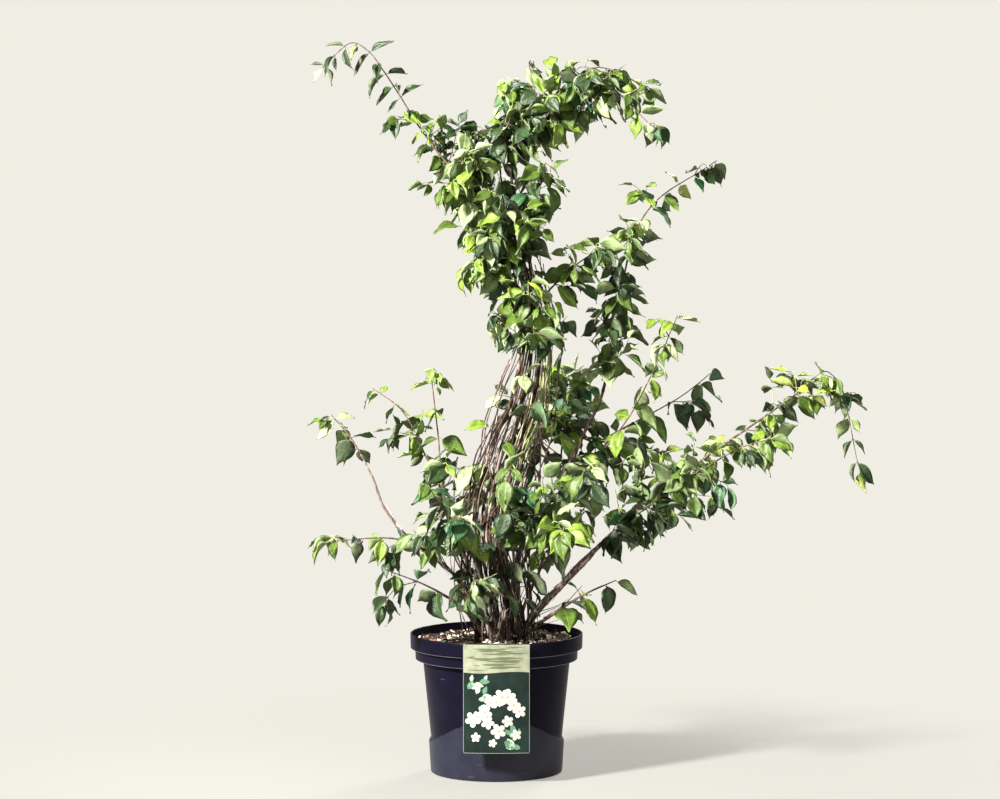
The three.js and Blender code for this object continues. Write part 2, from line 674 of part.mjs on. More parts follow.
masses.forEach((mass) => {
  mass.twigs.forEach((path, index) => {
    const guard = limb(path, twig.sides, 1, twig.foot + 2 * gap, twig.tip + 2 * gap);
    if (touches(guard, (item) => item.node !== mass.node)) return;
    const geometry = limb(path, twig.sides, 1, twig.foot, twig.tip);
    const sum = joined(mass.solid, solidOf(geometry));
    if (!sum) return;
    remember(mass.node, geometry, 'twig');
    mass.solid = sum;
    mass.standing[index] = true;
  });
});

masses.forEach((mass) => {
  const ofOthers = (item) => item.node !== mass.node;
  const ownLeaves = (item) => item.node === mass.node && item.kind === 'leaf';
  mass.leaves.forEach((one) => {
    if (one.onTwig !== undefined && !mass.standing[one.onTwig]) return;
    for (const way of one.ways) {
      const frame = leafFrame(one, way);
      if (touches(leafSolid(one, gap).applyMatrix4(frame), ofOthers)) continue;
      if (touches(leafSolid(one, gap, leaf.freeRoot).applyMatrix4(frame), ownLeaves)) continue;
      const geometry = leafSolid(one).applyMatrix4(frame);
      const sum = joined(mass.solid, solidOf(geometry));
      if (!sum) continue;
      remember(mass.node, geometry, 'leaf');
      mass.solid = sum;
      break;
    }
  });
});

masses.forEach((mass, index) => {
  addPiece(mass.node, geometryOf(mass.solid), colours.foliage[index % colours.foliage.length], 0.6);
});

export default beautybush;
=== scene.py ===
import math

import bpy
import numpy as np
from mathutils import Matrix, Vector


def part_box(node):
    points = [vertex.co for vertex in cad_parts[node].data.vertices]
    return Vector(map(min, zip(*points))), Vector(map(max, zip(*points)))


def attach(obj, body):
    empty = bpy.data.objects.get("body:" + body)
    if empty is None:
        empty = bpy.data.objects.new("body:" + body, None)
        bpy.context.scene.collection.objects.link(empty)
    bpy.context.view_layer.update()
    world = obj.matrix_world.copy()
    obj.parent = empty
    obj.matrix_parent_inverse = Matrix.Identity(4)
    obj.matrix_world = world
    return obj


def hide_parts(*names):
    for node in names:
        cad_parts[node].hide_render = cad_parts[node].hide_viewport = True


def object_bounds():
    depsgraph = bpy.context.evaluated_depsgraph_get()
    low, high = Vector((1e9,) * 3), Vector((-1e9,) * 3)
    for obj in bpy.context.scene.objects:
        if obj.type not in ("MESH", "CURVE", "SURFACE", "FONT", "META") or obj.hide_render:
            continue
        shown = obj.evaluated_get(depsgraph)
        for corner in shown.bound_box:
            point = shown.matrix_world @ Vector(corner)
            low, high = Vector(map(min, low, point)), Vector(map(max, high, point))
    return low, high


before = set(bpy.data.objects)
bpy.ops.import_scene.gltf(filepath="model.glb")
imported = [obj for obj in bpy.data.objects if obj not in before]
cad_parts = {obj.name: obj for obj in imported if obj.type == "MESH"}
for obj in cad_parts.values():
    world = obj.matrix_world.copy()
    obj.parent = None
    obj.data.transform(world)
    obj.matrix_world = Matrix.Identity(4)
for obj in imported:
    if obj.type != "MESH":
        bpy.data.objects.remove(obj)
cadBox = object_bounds()
mm = 0.001  # shapes are worked out in millimetres and built in metres
anyPhase = (0, 6.28)  # radians
print("frame:", len(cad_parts), "solids")


# shader nodes

def addNode(tree, kind, sockets=None, **settings):
    node = tree.nodes.new("ShaderNode" + kind)
    for word, value in settings.items():
        setattr(node, word, value)
    for socket, value in (sockets or {}).items():
        node.inputs[socket].default_value = value
    return node


def wire(tree, *joins):
    for start, output, end, socket in joins:
        tree.links.new(start.outputs[output], end.inputs[socket])


def newMaterial(name, roughness, specular):
    mat = bpy.data.materials.new(name)
    mat.use_nodes = True
    paint = mat.node_tree.nodes["Principled BSDF"]
    paint.inputs["Roughness"].default_value = roughness
    paint.inputs["Specular IOR Level"].default_value = specular
    return mat, mat.node_tree, paint


def mixShaders(tree, share, *shaders):
    mix = addNode(tree, "MixShader", share)
    for socket, shader in enumerate(shaders, 1):
        wire(tree, (shader, "BSDF", mix, socket))
    wire(tree, (mix, "Shader", tree.nodes["Material Output"], "Surface"))
    return mix


def noiseNode(tree, scale, detail, roughness=0.55, stretch=(1, 1, 1)):
    place = addNode(tree, "TexCoord")
    turn = addNode(tree, "Mapping", {"Scale": stretch})
    grain = addNode(tree, "TexNoise", {"Scale": scale, "Detail": detail, "Roughness": roughness})
    wire(tree, (place, "Object", turn, "Vector"), (turn, "Vector", grain, "Vector"))
    return grain


def rampNode(tree, source, stops):
    ramp = addNode(tree, "ValToRGB")
    spots = ramp.color_ramp.elements
    while len(spots) < len(stops):
        spots.new(0.5)
    for spot, (place, colour) in zip(spots, stops):
        spot.position = place
        spot.color = (*colour, 1)
    wire(tree, (source, "Fac", ramp, "Fac"))
    return ramp


def addRelief(tree, source, paint, strength, distance):
    bump = addNode(tree, "Bump", {"Strength": strength, "Distance": distance})
    wire(tree, (source, "Fac", bump, "Height"), (bump, "Normal", paint, "Normal"))


def shaded(colour, share):
    return tuple(min(1.0, part * share) for part in colour)


# camera and light

view = {
    "eye": (0.0057, -6.0, 1.070),
    "target": (0.0057, 0.0, 0.606),
    "lens": 134,
    "sensor": 36,
    "far": 60,
}

lamps = {
    # place, size in metres, watts, colour
    "keyLamp": ((-3.3, -3.0, 3.2), 0.62, 1120, (1.0, 0.98, 0.93)),
    "fillLamp": ((3.0, -3.2, 1.6), 2.4, 44, (1.0, 0.98, 0.92)),
    "backLamp": ((1.4, 3.2, 2.8), 1.2, 140, (1.0, 0.99, 0.95)),
}

studio = {
    "lampTarget": (0.05, 0.0, 0.65),
    "sky": (0.875, 0.850, 0.775),
    "skySeen": 1.0,
    "skyFill": 0.42,  # how much of the sky lights the plant
    "floor": (0.290, 0.287, 0.274),
    "floorSize": 9.0,
    "floorDrop": 0.0008,
    "floorGloss": (0.9, 0.1),  # roughness and specular
    "floorClear": (0.26, 1.05),  # where the floor fades into the backdrop, metres from the pot
    "floorThin": 0.4,  # how much of the backdrop shows through it beside the pot
}


def aimAt(thing, place, target):
    thing.location = place
    way = Vector(target) - Vector(place)
    thing.rotation_euler = way.to_track_quat("-Z", "Y").to_euler()


def makeCamera(scene):
    data = bpy.data.cameras.new("camera")
    data.lens = view["lens"]
    data.sensor_width = view["sensor"]
    data.clip_end = view["far"]
    camera = bpy.data.objects.new("camera", data)
    scene.collection.objects.link(camera)
    aimAt(camera, view["eye"], view["target"])
    scene.camera = camera
    scene.view_settings.view_transform = "Standard"
    scene.view_settings.look = "None"


def makeLight(scene):
    for name, (place, size, power, colour) in lamps.items():
        data = bpy.data.lights.new(name, "AREA")
        data.shape = "DISK"
        data.size, data.energy, data.color = size, power, colour
        lamp = bpy.data.objects.new(name, data)
        scene.collection.objects.link(lamp)
        aimAt(lamp, place, studio["lampTarget"])
    world = bpy.data.worlds.new("paleStudio")
    world.use_nodes = True
    tree = world.node_tree
    sky = tree.nodes["Background"]
    sky.inputs["Color"].default_value = (*studio["sky"], 1)
    ray = addNode(tree, "LightPath")
    power = addNode(tree, "MapRange", {"To Min": studio["skyFill"], "To Max": studio["skySeen"]})
    wire(tree, (ray, "Is Camera Ray", power, "Value"), (power, "Result", sky, "Strength"))
    scene.world = world


def makeFloor(scene):
    half = studio["floorSize"]
    mesh = bpy.data.meshes.new("studioFloor")
    corners = [(-half, -half, 0), (half, -half, 0), (half, half, 0), (-half, half, 0)]
    mesh.from_pydata(corners, [], [(0, 1, 2, 3)])
    floor = bpy.data.objects.new("studioFloor", mesh)
    scene.collection.objects.link(floor)
    floor.location.z = -studio["floorDrop"]
    mat, tree, paint = newMaterial("paleFloor", *studio["floorGloss"])
    paint.inputs["Base Color"].default_value = (*studio["floor"], 1)
    place = addNode(tree, "TexCoord")
    away = addNode(tree, "VectorMath", operation="LENGTH")
    near, far = studio["floorClear"]
    fade = addNode(tree, "MapRange", {"From Min": near, "From Max": far, "To Min": studio["floorThin"]},
                   interpolation_type="SMOOTHSTEP")
    mix = mixShaders(tree, None, paint, addNode(tree, "BsdfTransparent"))
    wire(tree, (place, "Object", away, 0), (away, "Value", fade, "Value"), (fade, "Result", mix, "Fac"))
    mesh.materials.append(mat)


makeCamera(bpy.context.scene)
makeLight(bpy.context.scene)
makeFloor(bpy.context.scene)
print("studio: camera,", len(lamps), "lamps, pale floor")


# materials

barkLook = {
    "gloss": (0.82, 0.25),  # roughness and specular
    "grainScale": 210,
    "grain": (5, 0.6, (1, 1, 0.16)),  # detail, roughness, and the stretch up the stem
    "stops": (0.34, 0.46, 0.56, 0.66),
    "lighter": 1.4,
    "relief": (0.6, 0.0006),
    # painted shade: the bark darkens towards the soil at the foot of the bundle, where the crown shades it,
    # less so further out
    "footShadeHeights": (0.270, 0.440),
    "footShadeShare": 0.56,
    "footShadeOutward": 1.1,  # how fast the painted shade lifts away from the middle of the pot
}

leafLook = {
    "specular": 0.72,
    "patches": (60, 4, 0.6),
    "stops": ((0.36, 0.62), (0.5, 1), (0.64, 1.4)),
    "crinkle": (210, 3, 0.55),
    "relief": (0.8, 0.0013),
    # roughness, and how much light comes through
    "upper": (0.5, 0.2),
    "under": (0.6, 0.24),
    "rib": (0.5, 0.1),
    "ribLighter": 1.9,
}

plainLook = {
    "detail": 4,
    "stops": (0.3, 0.7),
    "relief": 0.5,
}


def barkMaterial(name, dark, mid, pale, grainScale=barkLook["grainScale"]):
    mat, tree, paint = newMaterial(name, *barkLook["gloss"])
    streak = noiseNode(tree, grainScale, *barkLook["grain"])
    tones = dark, mid, shaded(mid, barkLook["lighter"]), pale
    ramp = rampNode(tree, streak, list(zip(barkLook["stops"], tones)))
    place = addNode(tree, "TexCoord")
    parts = addNode(tree, "SeparateXYZ")
    flat = addNode(tree, "VectorMath", {1: (1, 1, 0)}, operation="MULTIPLY")
    away = addNode(tree, "VectorMath", operation="LENGTH")
    # painted shade: the bark's colour is scaled down towards the soil and the middle of the bundle
    rise = addNode(tree, "Math", {1: barkLook["footShadeOutward"]}, operation="MULTIPLY_ADD")
    low, high = barkLook["footShadeHeights"]
    shadeScale = addNode(tree, "MapRange", {"From Min": low, "From Max": high, "To Min": barkLook["footShadeShare"]},
                  interpolation_type="SMOOTHSTEP")
    tone = addNode(tree, "VectorMath", operation="SCALE")
    wire(
        tree,
        (place, "Object", parts, "Vector"), (place, "Object", flat, 0), (flat, "Vector", away, 0),
        (away, "Value", rise, 0), (parts, "Z", rise, 2), (rise, "Value", shadeScale, "Value"),
        (ramp, "Color", tone, 0), (shadeScale, "Result", tone, "Scale"), (tone, "Vector", paint, "Base Color"),
    )
    addRelief(tree, streak, paint, *barkLook["relief"])
    return mat


def leafMaterial(name, colour, glow, side):
    roughness, through = leafLook[side]
    mat, tree, paint = newMaterial(name, roughness, leafLook["specular"])
    patch = noiseNode(tree, *leafLook["patches"])
    ramp = rampNode(tree, patch, [(place, shaded(colour, share)) for place, share in leafLook["stops"]])
    wire(tree, (ramp, "Color", paint, "Base Color"))
    addRelief(tree, noiseNode(tree, *leafLook["crinkle"]), paint, *leafLook["relief"])
    mixShaders(tree, {"Fac": through}, paint, addNode(tree, "BsdfTranslucent", {"Color": (*glow, 1)}))
    return mat


# one colour with a faint mottle; depth says how far it goes lighter and darker
def plainMaterial(name, colour, roughness, grainScale, depth, specular=0.5, relief=0.0):
    mat, tree, paint = newMaterial(name, roughness, specular)
    grain = noiseNode(tree, grainScale, plainLook["detail"])
    tones = shaded(colour, 1 - depth), shaded(colour, 1 + depth)
    ramp = rampNode(tree, grain, list(zip(plainLook["stops"], tones)))
    wire(tree, (ramp, "Color", paint, "Base Color"))
    if relief:
        addRelief(tree, grain, paint, plainLook["relief"], relief)
    return mat


# mesh building: a pile gathers points and faces of one kind and becomes one piece

def newPile():
    return {"points": [], "faces": [], "kinds": [], "count": 0}


def heap(pile, points, faces, kinds=0):
    points = np.asarray(points, dtype=float).reshape(-1, 3)
    start = pile["count"]
    pile["points"].append(points)
    pile["faces"].extend([tuple(int(corner) + start for corner in face) for face in faces])
    pile["kinds"].extend(kinds if isinstance(kinds, list) else [kinds] * len(faces))
    pile["count"] += len(points)


def makePiece(name, pile, materials, nodes=(), smooth=True):
    mesh = bpy.data.meshes.new(name)
    points = np.concatenate(pile["points"]) * mm
    mesh.from_pydata(points.tolist(), [], pile["faces"])
    for mat in materials:
        mesh.materials.append(mat)
    mesh.polygons.foreach_set("material_index", pile["kinds"])
    mesh.polygons.foreach_set("use_smooth", [smooth] * len(mesh.polygons))
    mesh.update()
    piece = bpy.data.objects.new(name, mesh)
    bpy.context.scene.collection.objects.link(piece)
    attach(piece, "root")
    if nodes:
        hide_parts(*nodes)


# seeded luck for one piece, and a pick from one of the ranges in its dictionary
def luckOf(look):
    rng = np.random.default_rng(look["seed"])
    return rng, lambda word: rng.uniform(*look[word])


def unit(vector):
    return vector / max(float(np.linalg.norm(vector)), 1e-9)


def turned(vector, axis, angle):
    cos, sin = math.cos(angle), math.sin(angle)
    return vector * cos + np.cross(axis, vector) * sin + axis * float(np.dot(axis, vector)) * (1 - cos)


# a direction, or the spare one where it is too short to trust
def orSpare(way, spare, least=0.2):
    return spare if np.linalg.norm(way) < least else way


def roundAt(radius, angle, z):
    return radius * math.cos(angle), radius * math.sin(angle), z


def heading(degrees):
    return np.array(roundAt(1, math.radians(degrees), 0.0))


def upBy(height):
    return np.array([0, 0, height])


def between(ends, share):
    return ends[0] + (ends[1] - ends[0]) * share


# a route is a smooth line through a few points, with its length measured along it
def makeRoute(points, perSpan=24):
    marks = [np.asarray(point, dtype=float) for point in points]
    marks = [2 * marks[0] - marks[1], *marks, 2 * marks[-1] - marks[-2]]
    t = np.linspace(0, 1, perSpan, endpoint=False)[:, None]
    line = []
    for a, b, c, d in zip(marks, marks[1:], marks[2:], marks[3:]):
        spans = (max(np.linalg.norm(span), 1e-6) for span in (b - a, c - b, d - c))
        first, middle, last = (span**0.5 for span in spans)
        leave = ((b - a) / first - (c - a) / (first + middle) + (c - b) / middle) * middle
        arrive = ((c - b) / middle - (d - b) / (middle + last) + (d - c) / last) * middle
        square = -3 * b + 3 * c - 2 * leave - arrive
        cube = 2 * b - 2 * c + leave + arrive
        line.append(b + leave * t + square * t**2 + cube * t**3)
    line.append(marks[-2][None, :])
    line = np.concatenate(line)
    along = np.concatenate([[0], np.cumsum(np.linalg.norm(np.diff(line, axis=0), axis=1))])
    return {"line": line, "along": along, "length": float(along[-1])}


def placeOn(route, share):
    at = np.clip(share, 0, 1) * route["length"]
    return np.stack([np.interp(at, route["along"], route["line"][:, k]) for k in range(3)], axis=-1)


def wayOn(route, share, step=0.01):
    return unit(placeOn(route, min(share + step, 1)) - placeOn(route, max(share - step, 0)))


def partOf(route, start, end, marks=14, perSpan=8):
    shares = np.linspace(start, end, marks) / route["length"]
    return makeRoute(placeOn(route, shares), perSpan)


def ringFaces(rings, around):
    faces = []
    for low in range(0, (rings - 1) * around, around):
        high = low + around
        for j in range(around):
            n = (j + 1) % around
            faces.append((low + j, low + n, high + n, high + j))
    return faces


# a tube of rings along a line; swell multiplies the radius ring by ring and side by side
def tube(pile, line, radii, sides, kind, swell=None, roundTip=False, tipLength=1.4):
    line = np.asarray(line, dtype=float)
    rings = len(line)
    ways = np.gradient(line, axis=0)
    ways /= np.maximum(np.linalg.norm(ways, axis=1, keepdims=True), 1e-9)
    across = orSpare(np.cross(ways[0], [0.0, 1.0, 0.0]), np.cross(ways[0], [1.0, 0.0, 0.0]))
    angles = np.arange(sides) / sides * 2 * math.pi
    points = np.zeros((rings, sides, 3))
    for k in range(rings):
        across = unit(across - ways[k] * float(np.dot(across, ways[k])))
        over = np.cross(ways[k], across)
        spread = np.full(sides, float(radii[k])) if swell is None else radii[k] * swell[k]
        circle = np.cos(angles)[:, None] * across + np.sin(angles)[:, None] * over
        points[k] = line[k] + spread[:, None] * circle
    faces = [*ringFaces(rings, sides), tuple(range(sides - 1, -1, -1))]
    flat = points.reshape(-1, 3)
    last = (rings - 1) * sides
    if roundTip:
        flat = np.vstack([flat, line[-1] + ways[-1] * radii[-1] * tipLength])
        faces.extend((last + j, last + (j + 1) % sides, rings * sides) for j in range(sides))
    else:
        faces.append(tuple(last + j for j in range(sides)))
    heap(pile, flat, faces, kind)


# canes, with the same routes as the solids

gap = 0.3  # between one solid and the next

potSize = {
    "height": 226.5, "rimRadius": 140, "rimDepth": 24, "stepRadius": 131.5, "stepDepth": 18,
    "bodyTopRadius": 119.5, "bodyFootRadius": 106, "footBandRadius": 110, "footBandHeight": 52,
    "baseRadius": 105, "edge": 2, "wall": 2.6,
}
soilTop = 215.5

bundle = [
    {"up": 213, "lean": 12, "wide": 42, "deep": 34},
    {"up": 300, "lean": 0, "wide": 46, "deep": 38},
    {"up": 380, "lean": -10, "wide": 50, "deep": 40},
    {"up": 510, "lean": 14, "wide": 50, "deep": 40},
    {"up": 605, "lean": 44, "wide": 42, "deep": 36},
    {"up": 680, "lean": 60, "wide": 32, "deep": 30},
    {"up": 770, "lean": 53, "wide": 30, "deep": 30},
    {"up": 850, "lean": 32, "wide": 32, "deep": 32},
    {"up": 930, "lean": 16, "wide": 36, "deep": 34},
    {"up": 1010, "lean": 4, "wide": 40, "deep": 36},
    {"up": 1110, "lean": 18, "wide": 44, "deep": 38},
]

caneRule = {
    "tip": 1.2,
    "stemShare": 0.9,  # a leafy stem's thickness where it goes on from its cane
    "bundleStep": 90,
    "freeStep": 90,
    "sideRadius": 1.7,
    "sideSeat": 0.7,  # how deep in its cane a side shoot starts, by the cane's radius
    "sideStart": 8,
    "sideMarks": 201,
}

# name, place in the bundle, way out, height where it leaves, crest, tip, bow, bare share, thickness,
# side twigs and their length, leaf scale, and how full of leaves its shoot is
caneWords = ("name", "slot", "ring", "turn", "leave", "crest", "tip", "bow", "bare", "thick",
             "sprays", "sprayLength", "leafScale", "full")
caneRows = [
    ("top_left", 185, 0.55, 178, 880, (252, 1180), (310, 1138), -6, 0.61, 3.8, 2, 42, 0.8, 1.62),
    ("top_right", 15, 0.5, 6, 990, (150, 1140), (240, 1110), 14, 0.78, 3.9, 4, 50, 1, 1.4),
    ("crest", 100, 0.3, 20, 980, (10, 1046), (20, 1082), 0, 0.88, 3.5, 4, 62, 1, 1.6),
    ("middle_front", 290, 0.7, 250, 830, (46, 890), (72, 940), 4, 0.83, 3.1, 4, 58, 1, 1.7),
    ("middle_back", 68, 0.72, 100, 840, (56, 905), (86, 950), 4, 0.82, 3.1, 4, 58, 1, 1.5),
    ("low_front", 255, 0.62, 262, 690, (44, 742), (66, 800), 4, 0.8, 2.9, 4, 46, 1, 1.8),
    ("low_back", 118, 0.68, 96, 680, (52, 752), (78, 806), 4, 0.79, 2.9, 4, 50, 1, 1.4),
    ("far_right", 4, 1, 8, 235, (542, 646), (592, 482), 30, 0.36, 4, 3, 44, 0.9, 1.05),
    ("right_arch", 342, 1, 346, 240, (382, 532), (440, 552), 24, 0.4, 3.4, 3, 46, 0.95, 1.15),
    ("right_upper", 30, 1, 30, 320, (365, 602), (415, 634), 56, 0.5, 3.4, 4, 60, 1, 0.5),
    ("right_middle", 15, 0.85, 16, 330, (253, 900), (378, 990), -34, 0.52, 3.4, 4, 50, 0.95, 0.92),
    ("right_low", 326, 1, 340, 224, (146, 298), (192, 320), 4, 0.34, 4.2, 3, 50, 0.95, 0.6),
    ("right_low_back", 48, 1, 44, 240, (160, 392), (216, 440), 14, 0.46, 3, 3, 54, 1, 1.0),
    ("right_front", 308, 1, 308, 330, (186, 470), (236, 512), 18, 0.48, 3.2, 4, 64, 1, 1.2),
    ("left_far", 172, 1, 172, 290, (238, 540), (272, 578), -26, 0.82, 3, 3, 36, 0.95, 1.6),
    ("left_up", 152, 1, 152, 350, (166, 580), (222, 616), 8, 0.5, 3, 3, 46, 0.9, 0.9),
    ("left_low", 194, 1, 188, 235, (165, 380), (286, 380), 28, 0.46, 3.2, 4, 48, 0.9, 0.8),
    ("left_low_front", 214, 1, 212, 226, (140, 310), (222, 344), 10, 0.44, 3.2, 2, 46, 0.9, 0.75),
    ("left_front", 238, 1, 236, 320, (150, 440), (196, 488), 12, 0.46, 3, 4, 62, 1, 0.8),
    ("left_back", 126, 1, 124, 330, (150, 446), (206, 500), 12, 0.46, 3, 4, 62, 1, 0.6),
    ("back_arch", 72, 1, 58, 460, (178, 616), (244, 640), 18, 0.62, 3, 3, 58, 1, 1.1),
    ("back_low", 100, 1, 98, 290, (160, 430), (236, 470), 16, 0.5, 3, 3, 58, 1, 0.8),
    ("front_arch", 282, 1, 280, 390, (150, 498), (206, 520), 14, 0.62, 3, 2, 50, 0.95, 0.5),
]
canes = [dict(zip(caneWords, row)) for row in caneRows]
# the long right-hand shoot weeps at its end
farRight = {"shoulder": (474, 600), "bend": 0.82}
farRightTip = {"radius": 1, "sprays": 2, "full": 0.8}
next(cane for cane in canes if cane["name"] == "far_right").update(farRight)

# shoots that grow straight from a cane: height where they leave it, way, reach out and up, arch
shootWords = ("name", "cane", "at", "turn", "out", "rise", "lift",
              "sprays", "sprayLength", "leafScale", "full")
shootRows = [
    ("right_drooping", "top_right", 1040, 326, 232, 4, 78, 3, 44, 0.95, 1.4),
    ("crest_right", "top_right", 1010, 70, 58, 114, 6, 3, 50, 1, 1.7),
    ("high_left", "top_left", 852, 196, 78, 144, 8, 4, 54, 1, 1.8),
    ("high_right", "top_right", 905, 345, 44, 80, 6, 4, 46, 1, 1.6),
    ("middle_left", "top_left", 772, 186, 58, 66, 6, 3, 44, 1, 2.0),
    ("low_right", "top_right", 768, 8, 112, 84, 4, 4, 44, 1, 1.2),
    ("right_thin", "right_upper", 486, 332, 182, 256, -50, 3, 46, 0.95, 1.1),
    ("right_high", "right_middle", 470, 82, 208, 168, 22, 3, 58, 1, 1.3),
    ("left_upright", "left_up", 430, 246, 66, 226, 10, 1, 34, 0.85, 0.6),
    ("low_left", "left_low_front", 270, 282, 116, 62, 12, 2, 50, 0.95, 0.72),
]
sideShoots = [dict(zip(shootWords, row)) for row in shootRows]


def bundleAt(up):
    ups = [stop["up"] for stop in bundle]
    k = min(max(sum(up > mark for mark in ups) - 1, 0), len(bundle) - 2)
    low, high = bundle[k], bundle[k + 1]
    share = min(max((up - low["up"]) / (high["up"] - low["up"]), 0), 1)
    share = share * share * (3 - 2 * share)
    return {word: between((low[word], high[word]), share) for word in ("lean", "wide", "deep")}


def inBundle(slot, ring, up):
    here = bundleAt(up)
    angle = math.radians(slot)
    x = here["lean"] + ring * here["wide"] * math.cos(angle)
    return np.array([x, ring * here["deep"] * math.sin(angle), up])


def caneRoute(cane):
    foot = soilTop + gap
    rise = cane["leave"] - foot
    rounds = max(1, math.floor(rise / caneRule["bundleStep"] + 0.5))
    points = [inBundle(cane["slot"], cane["ring"], foot + rise * k / rounds) for k in range(rounds + 1)]
    axis = bundleAt(cane["leave"])["lean"]
    way = heading(cane["turn"])

    def outAt(mark):
        return np.array([axis + way[0] * mark[0], way[1] * mark[0], mark[1]])

    rising = outAt(cane["crest"]) - points[-1]
    level = math.hypot(rising[0], rising[1])
    upward = unit(np.array([-way[0] * rising[2], -way[1] * rising[2], level]))
    if np.linalg.norm(rising) > caneRule["freeStep"]:
        points.append(points[-1] + rising * 0.5 + upward * cane["bow"])
    if "shoulder" in cane:
        points.append(outAt(cane["shoulder"]))
    points += [outAt(cane["crest"]), outAt(cane["tip"])]
    return makeRoute(points)


def sideRoute(shoot, host):
    route = host["route"]
    shares = np.linspace(0, 1, caneRule["sideMarks"])
    ups = placeOn(route, shares)[:, 2]
    share = float(shares[int(np.argmax(ups >= min(shoot["at"], ups.max())))])
    radius = between((host["thick"], host["thin"]), share)
    way = heading(shoot["turn"])
    along = wayOn(route, share)
    square = unit(way - along * float(np.dot(way, along)))
    start = placeOn(route, share) + square * radius * caneRule["sideSeat"]
    tip = start + way * shoot["out"] + upBy(shoot["rise"])
    knee = (start + tip) / 2 + upBy(shoot["lift"])
    return makeRoute([start, start + square * caneRule["sideStart"], knee, tip])


caneLines = []  # the bare lower stretch of each cane
shoots = []  # the leafy stems that go on from them
for cane in canes:
    route = caneRoute(cane)
    bareEnd = route["length"] * cane["bare"]
    thin = between((cane["thick"], caneRule["tip"]), cane["bare"])
    caneLines.append({**cane, "route": partOf(route, 0, bareEnd), "thin": thin})
    bend = route["length"] * cane.get("bend", 1)
    node = "foliage_" + cane["name"]
    stem = partOf(route, bareEnd, bend)
    shoots.append({**cane, "node": node, "stem": stem, "radius": thin * caneRule["stemShare"]})
    if "bend" in cane:
        stem = partOf(route, bend, route["length"])
        shoots.append({**cane, "node": node + "_tip", "stem": stem, **farRightTip})

for shoot in sideShoots:
    host = next(line for line in caneLines if line["name"] == shoot["cane"])
    stem = sideRoute(shoot, host)
    node = "foliage_" + shoot["name"]
    shoots.append({**shoot, "node": node, "stem": stem, "radius": caneRule["sideRadius"]})
print("routes:", len(caneLines), "canes,", len(shoots), "leafy shoots")


# bark: canes with ridges, joints and loose flakes

bark = {
    "sides": 10,
    "ringStep": 4.5,
    "fewestRings": 6,
    "waves": (2, 3, 5),  # ridges round a cane
    "ridge": 0.09,
    "ridgeShare": 1.6,
    "ridgeTurn": (0.004, 0.02),  # how fast the ridges wind on the way up
    "grit": 0.35,
    "knot": 0.24,  # how far a joint swells
    "firstKnot": (10, 40),
    "knotSpacing": (38, 70),
    "knotLength": 3.2,
    "wander": 1.9,  # small kinks on the way up
    "kinkRings": 9,
    "kinkWay": (1, 1, 0.3),
    "flare": (1.12, 1.06),  # a little wider where it leaves the soil
    # canes that stand here in the bundle take mostly the pale bark, painted light: the sunlit tone of the
    # lit canes
    "litSides": ((115, 245), (322, 350), (0, 10)),
    "litLuck": 0.75,
    "brownLuck": 0.6,
    "shadedLuck": 0.88,
    "seed": 31,
}

# bark tones: the pale bark is painted light, the sunlit side of the canes, and the dark bark is painted
# shade; the brown is the bark's own colour
brownBark = barkMaterial("brownBark", (0.013, 0.007, 0.005), (0.058, 0.034, 0.025), (0.31, 0.225, 0.185))
litBark = barkMaterial("litBark", (0.026, 0.015, 0.012), (0.165, 0.112, 0.094), (0.64, 0.53, 0.48))
shadedBark = barkMaterial("shadedBark", (0.010, 0.006, 0.004), (0.040, 0.024, 0.018), (0.17, 0.115, 0.09), 260)
flakeBark = barkMaterial("flakeBark", (0.12, 0.085, 0.065), (0.40, 0.32, 0.27), (0.74, 0.66, 0.60))
youngBark = barkMaterial("youngBark", (0.085, 0.10, 0.038), (0.27, 0.29, 0.13), (0.56, 0.57, 0.37), 120)
twigBark = barkMaterial("twigBark", (0.030, 0.018, 0.012), (0.115, 0.075, 0.052), (0.32, 0.25, 0.20), 300)
barks = {"canesBrown": brownBark, "canesLit": litBark, "canesShaded": shadedBark}
brownKind, litKind, shadedKind = range(len(barks))


# deals the bark tones: on the lit sides mostly the pale, painted sunlit bark; elsewhere mostly brown, with
# the dark painted shade and a little pale at random
def barkKind(slot, luck):
    if any(low < slot % 360 < high for low, high in bark["litSides"]):
        return litKind if luck < bark["litLuck"] else brownKind
    return brownKind if luck < bark["brownLuck"] else shadedKind if luck < bark["shadedLuck"] else litKind


def barkSwell(rings, sides, step, rng):
    angles = np.arange(sides) / sides * 2 * math.pi
    along = np.arange(rings) * step
    swell = np.ones((rings, sides))
    for waves in bark["waves"]:
        wind = rng.uniform(*bark["ridgeTurn"]) * rng.choice([-1, 1])
        turn = waves * angles[None, :] + wind * along[:, None] + rng.uniform(*anyPhase)
        swell += bark["ridge"] / waves * bark["ridgeShare"] * np.sin(turn)
    swell += rng.normal(0, bark["ridge"] * bark["grit"], (rings, sides))
    at = rng.uniform(*bark["firstKnot"])
    while at < along[-1]:
        swell += (bark["knot"] * np.exp(-(((along - at) / bark["knotLength"]) ** 2)))[:, None]
        at += rng.uniform(*bark["knotSpacing"])
    return swell


def barkTube(pile, route, foot, tip, kind, rng, mesh=(bark["sides"], bark["ringStep"]), roundTip=True):
    sides, step = mesh
    rings = max(bark["fewestRings"], int(route["length"] / step))
    shares = np.linspace(0, 1, rings)
    line = placeOn(route, shares)
    kinks = rng.normal(0, bark["wander"], (max(3, rings // bark["kinkRings"]), 3)) * bark["kinkWay"]
    kinks[[0, -1]] = 0
    spots = np.linspace(0, 1, len(kinks))
    line += np.stack([np.interp(shares, spots, kinks[:, k]) for k in range(3)], axis=-1)
    radii = between((foot, tip), shares)
    radii[:2] *= bark["flare"]
    tube(pile, line, radii, sides, kind, barkSwell(rings, sides, step, rng), roundTip)


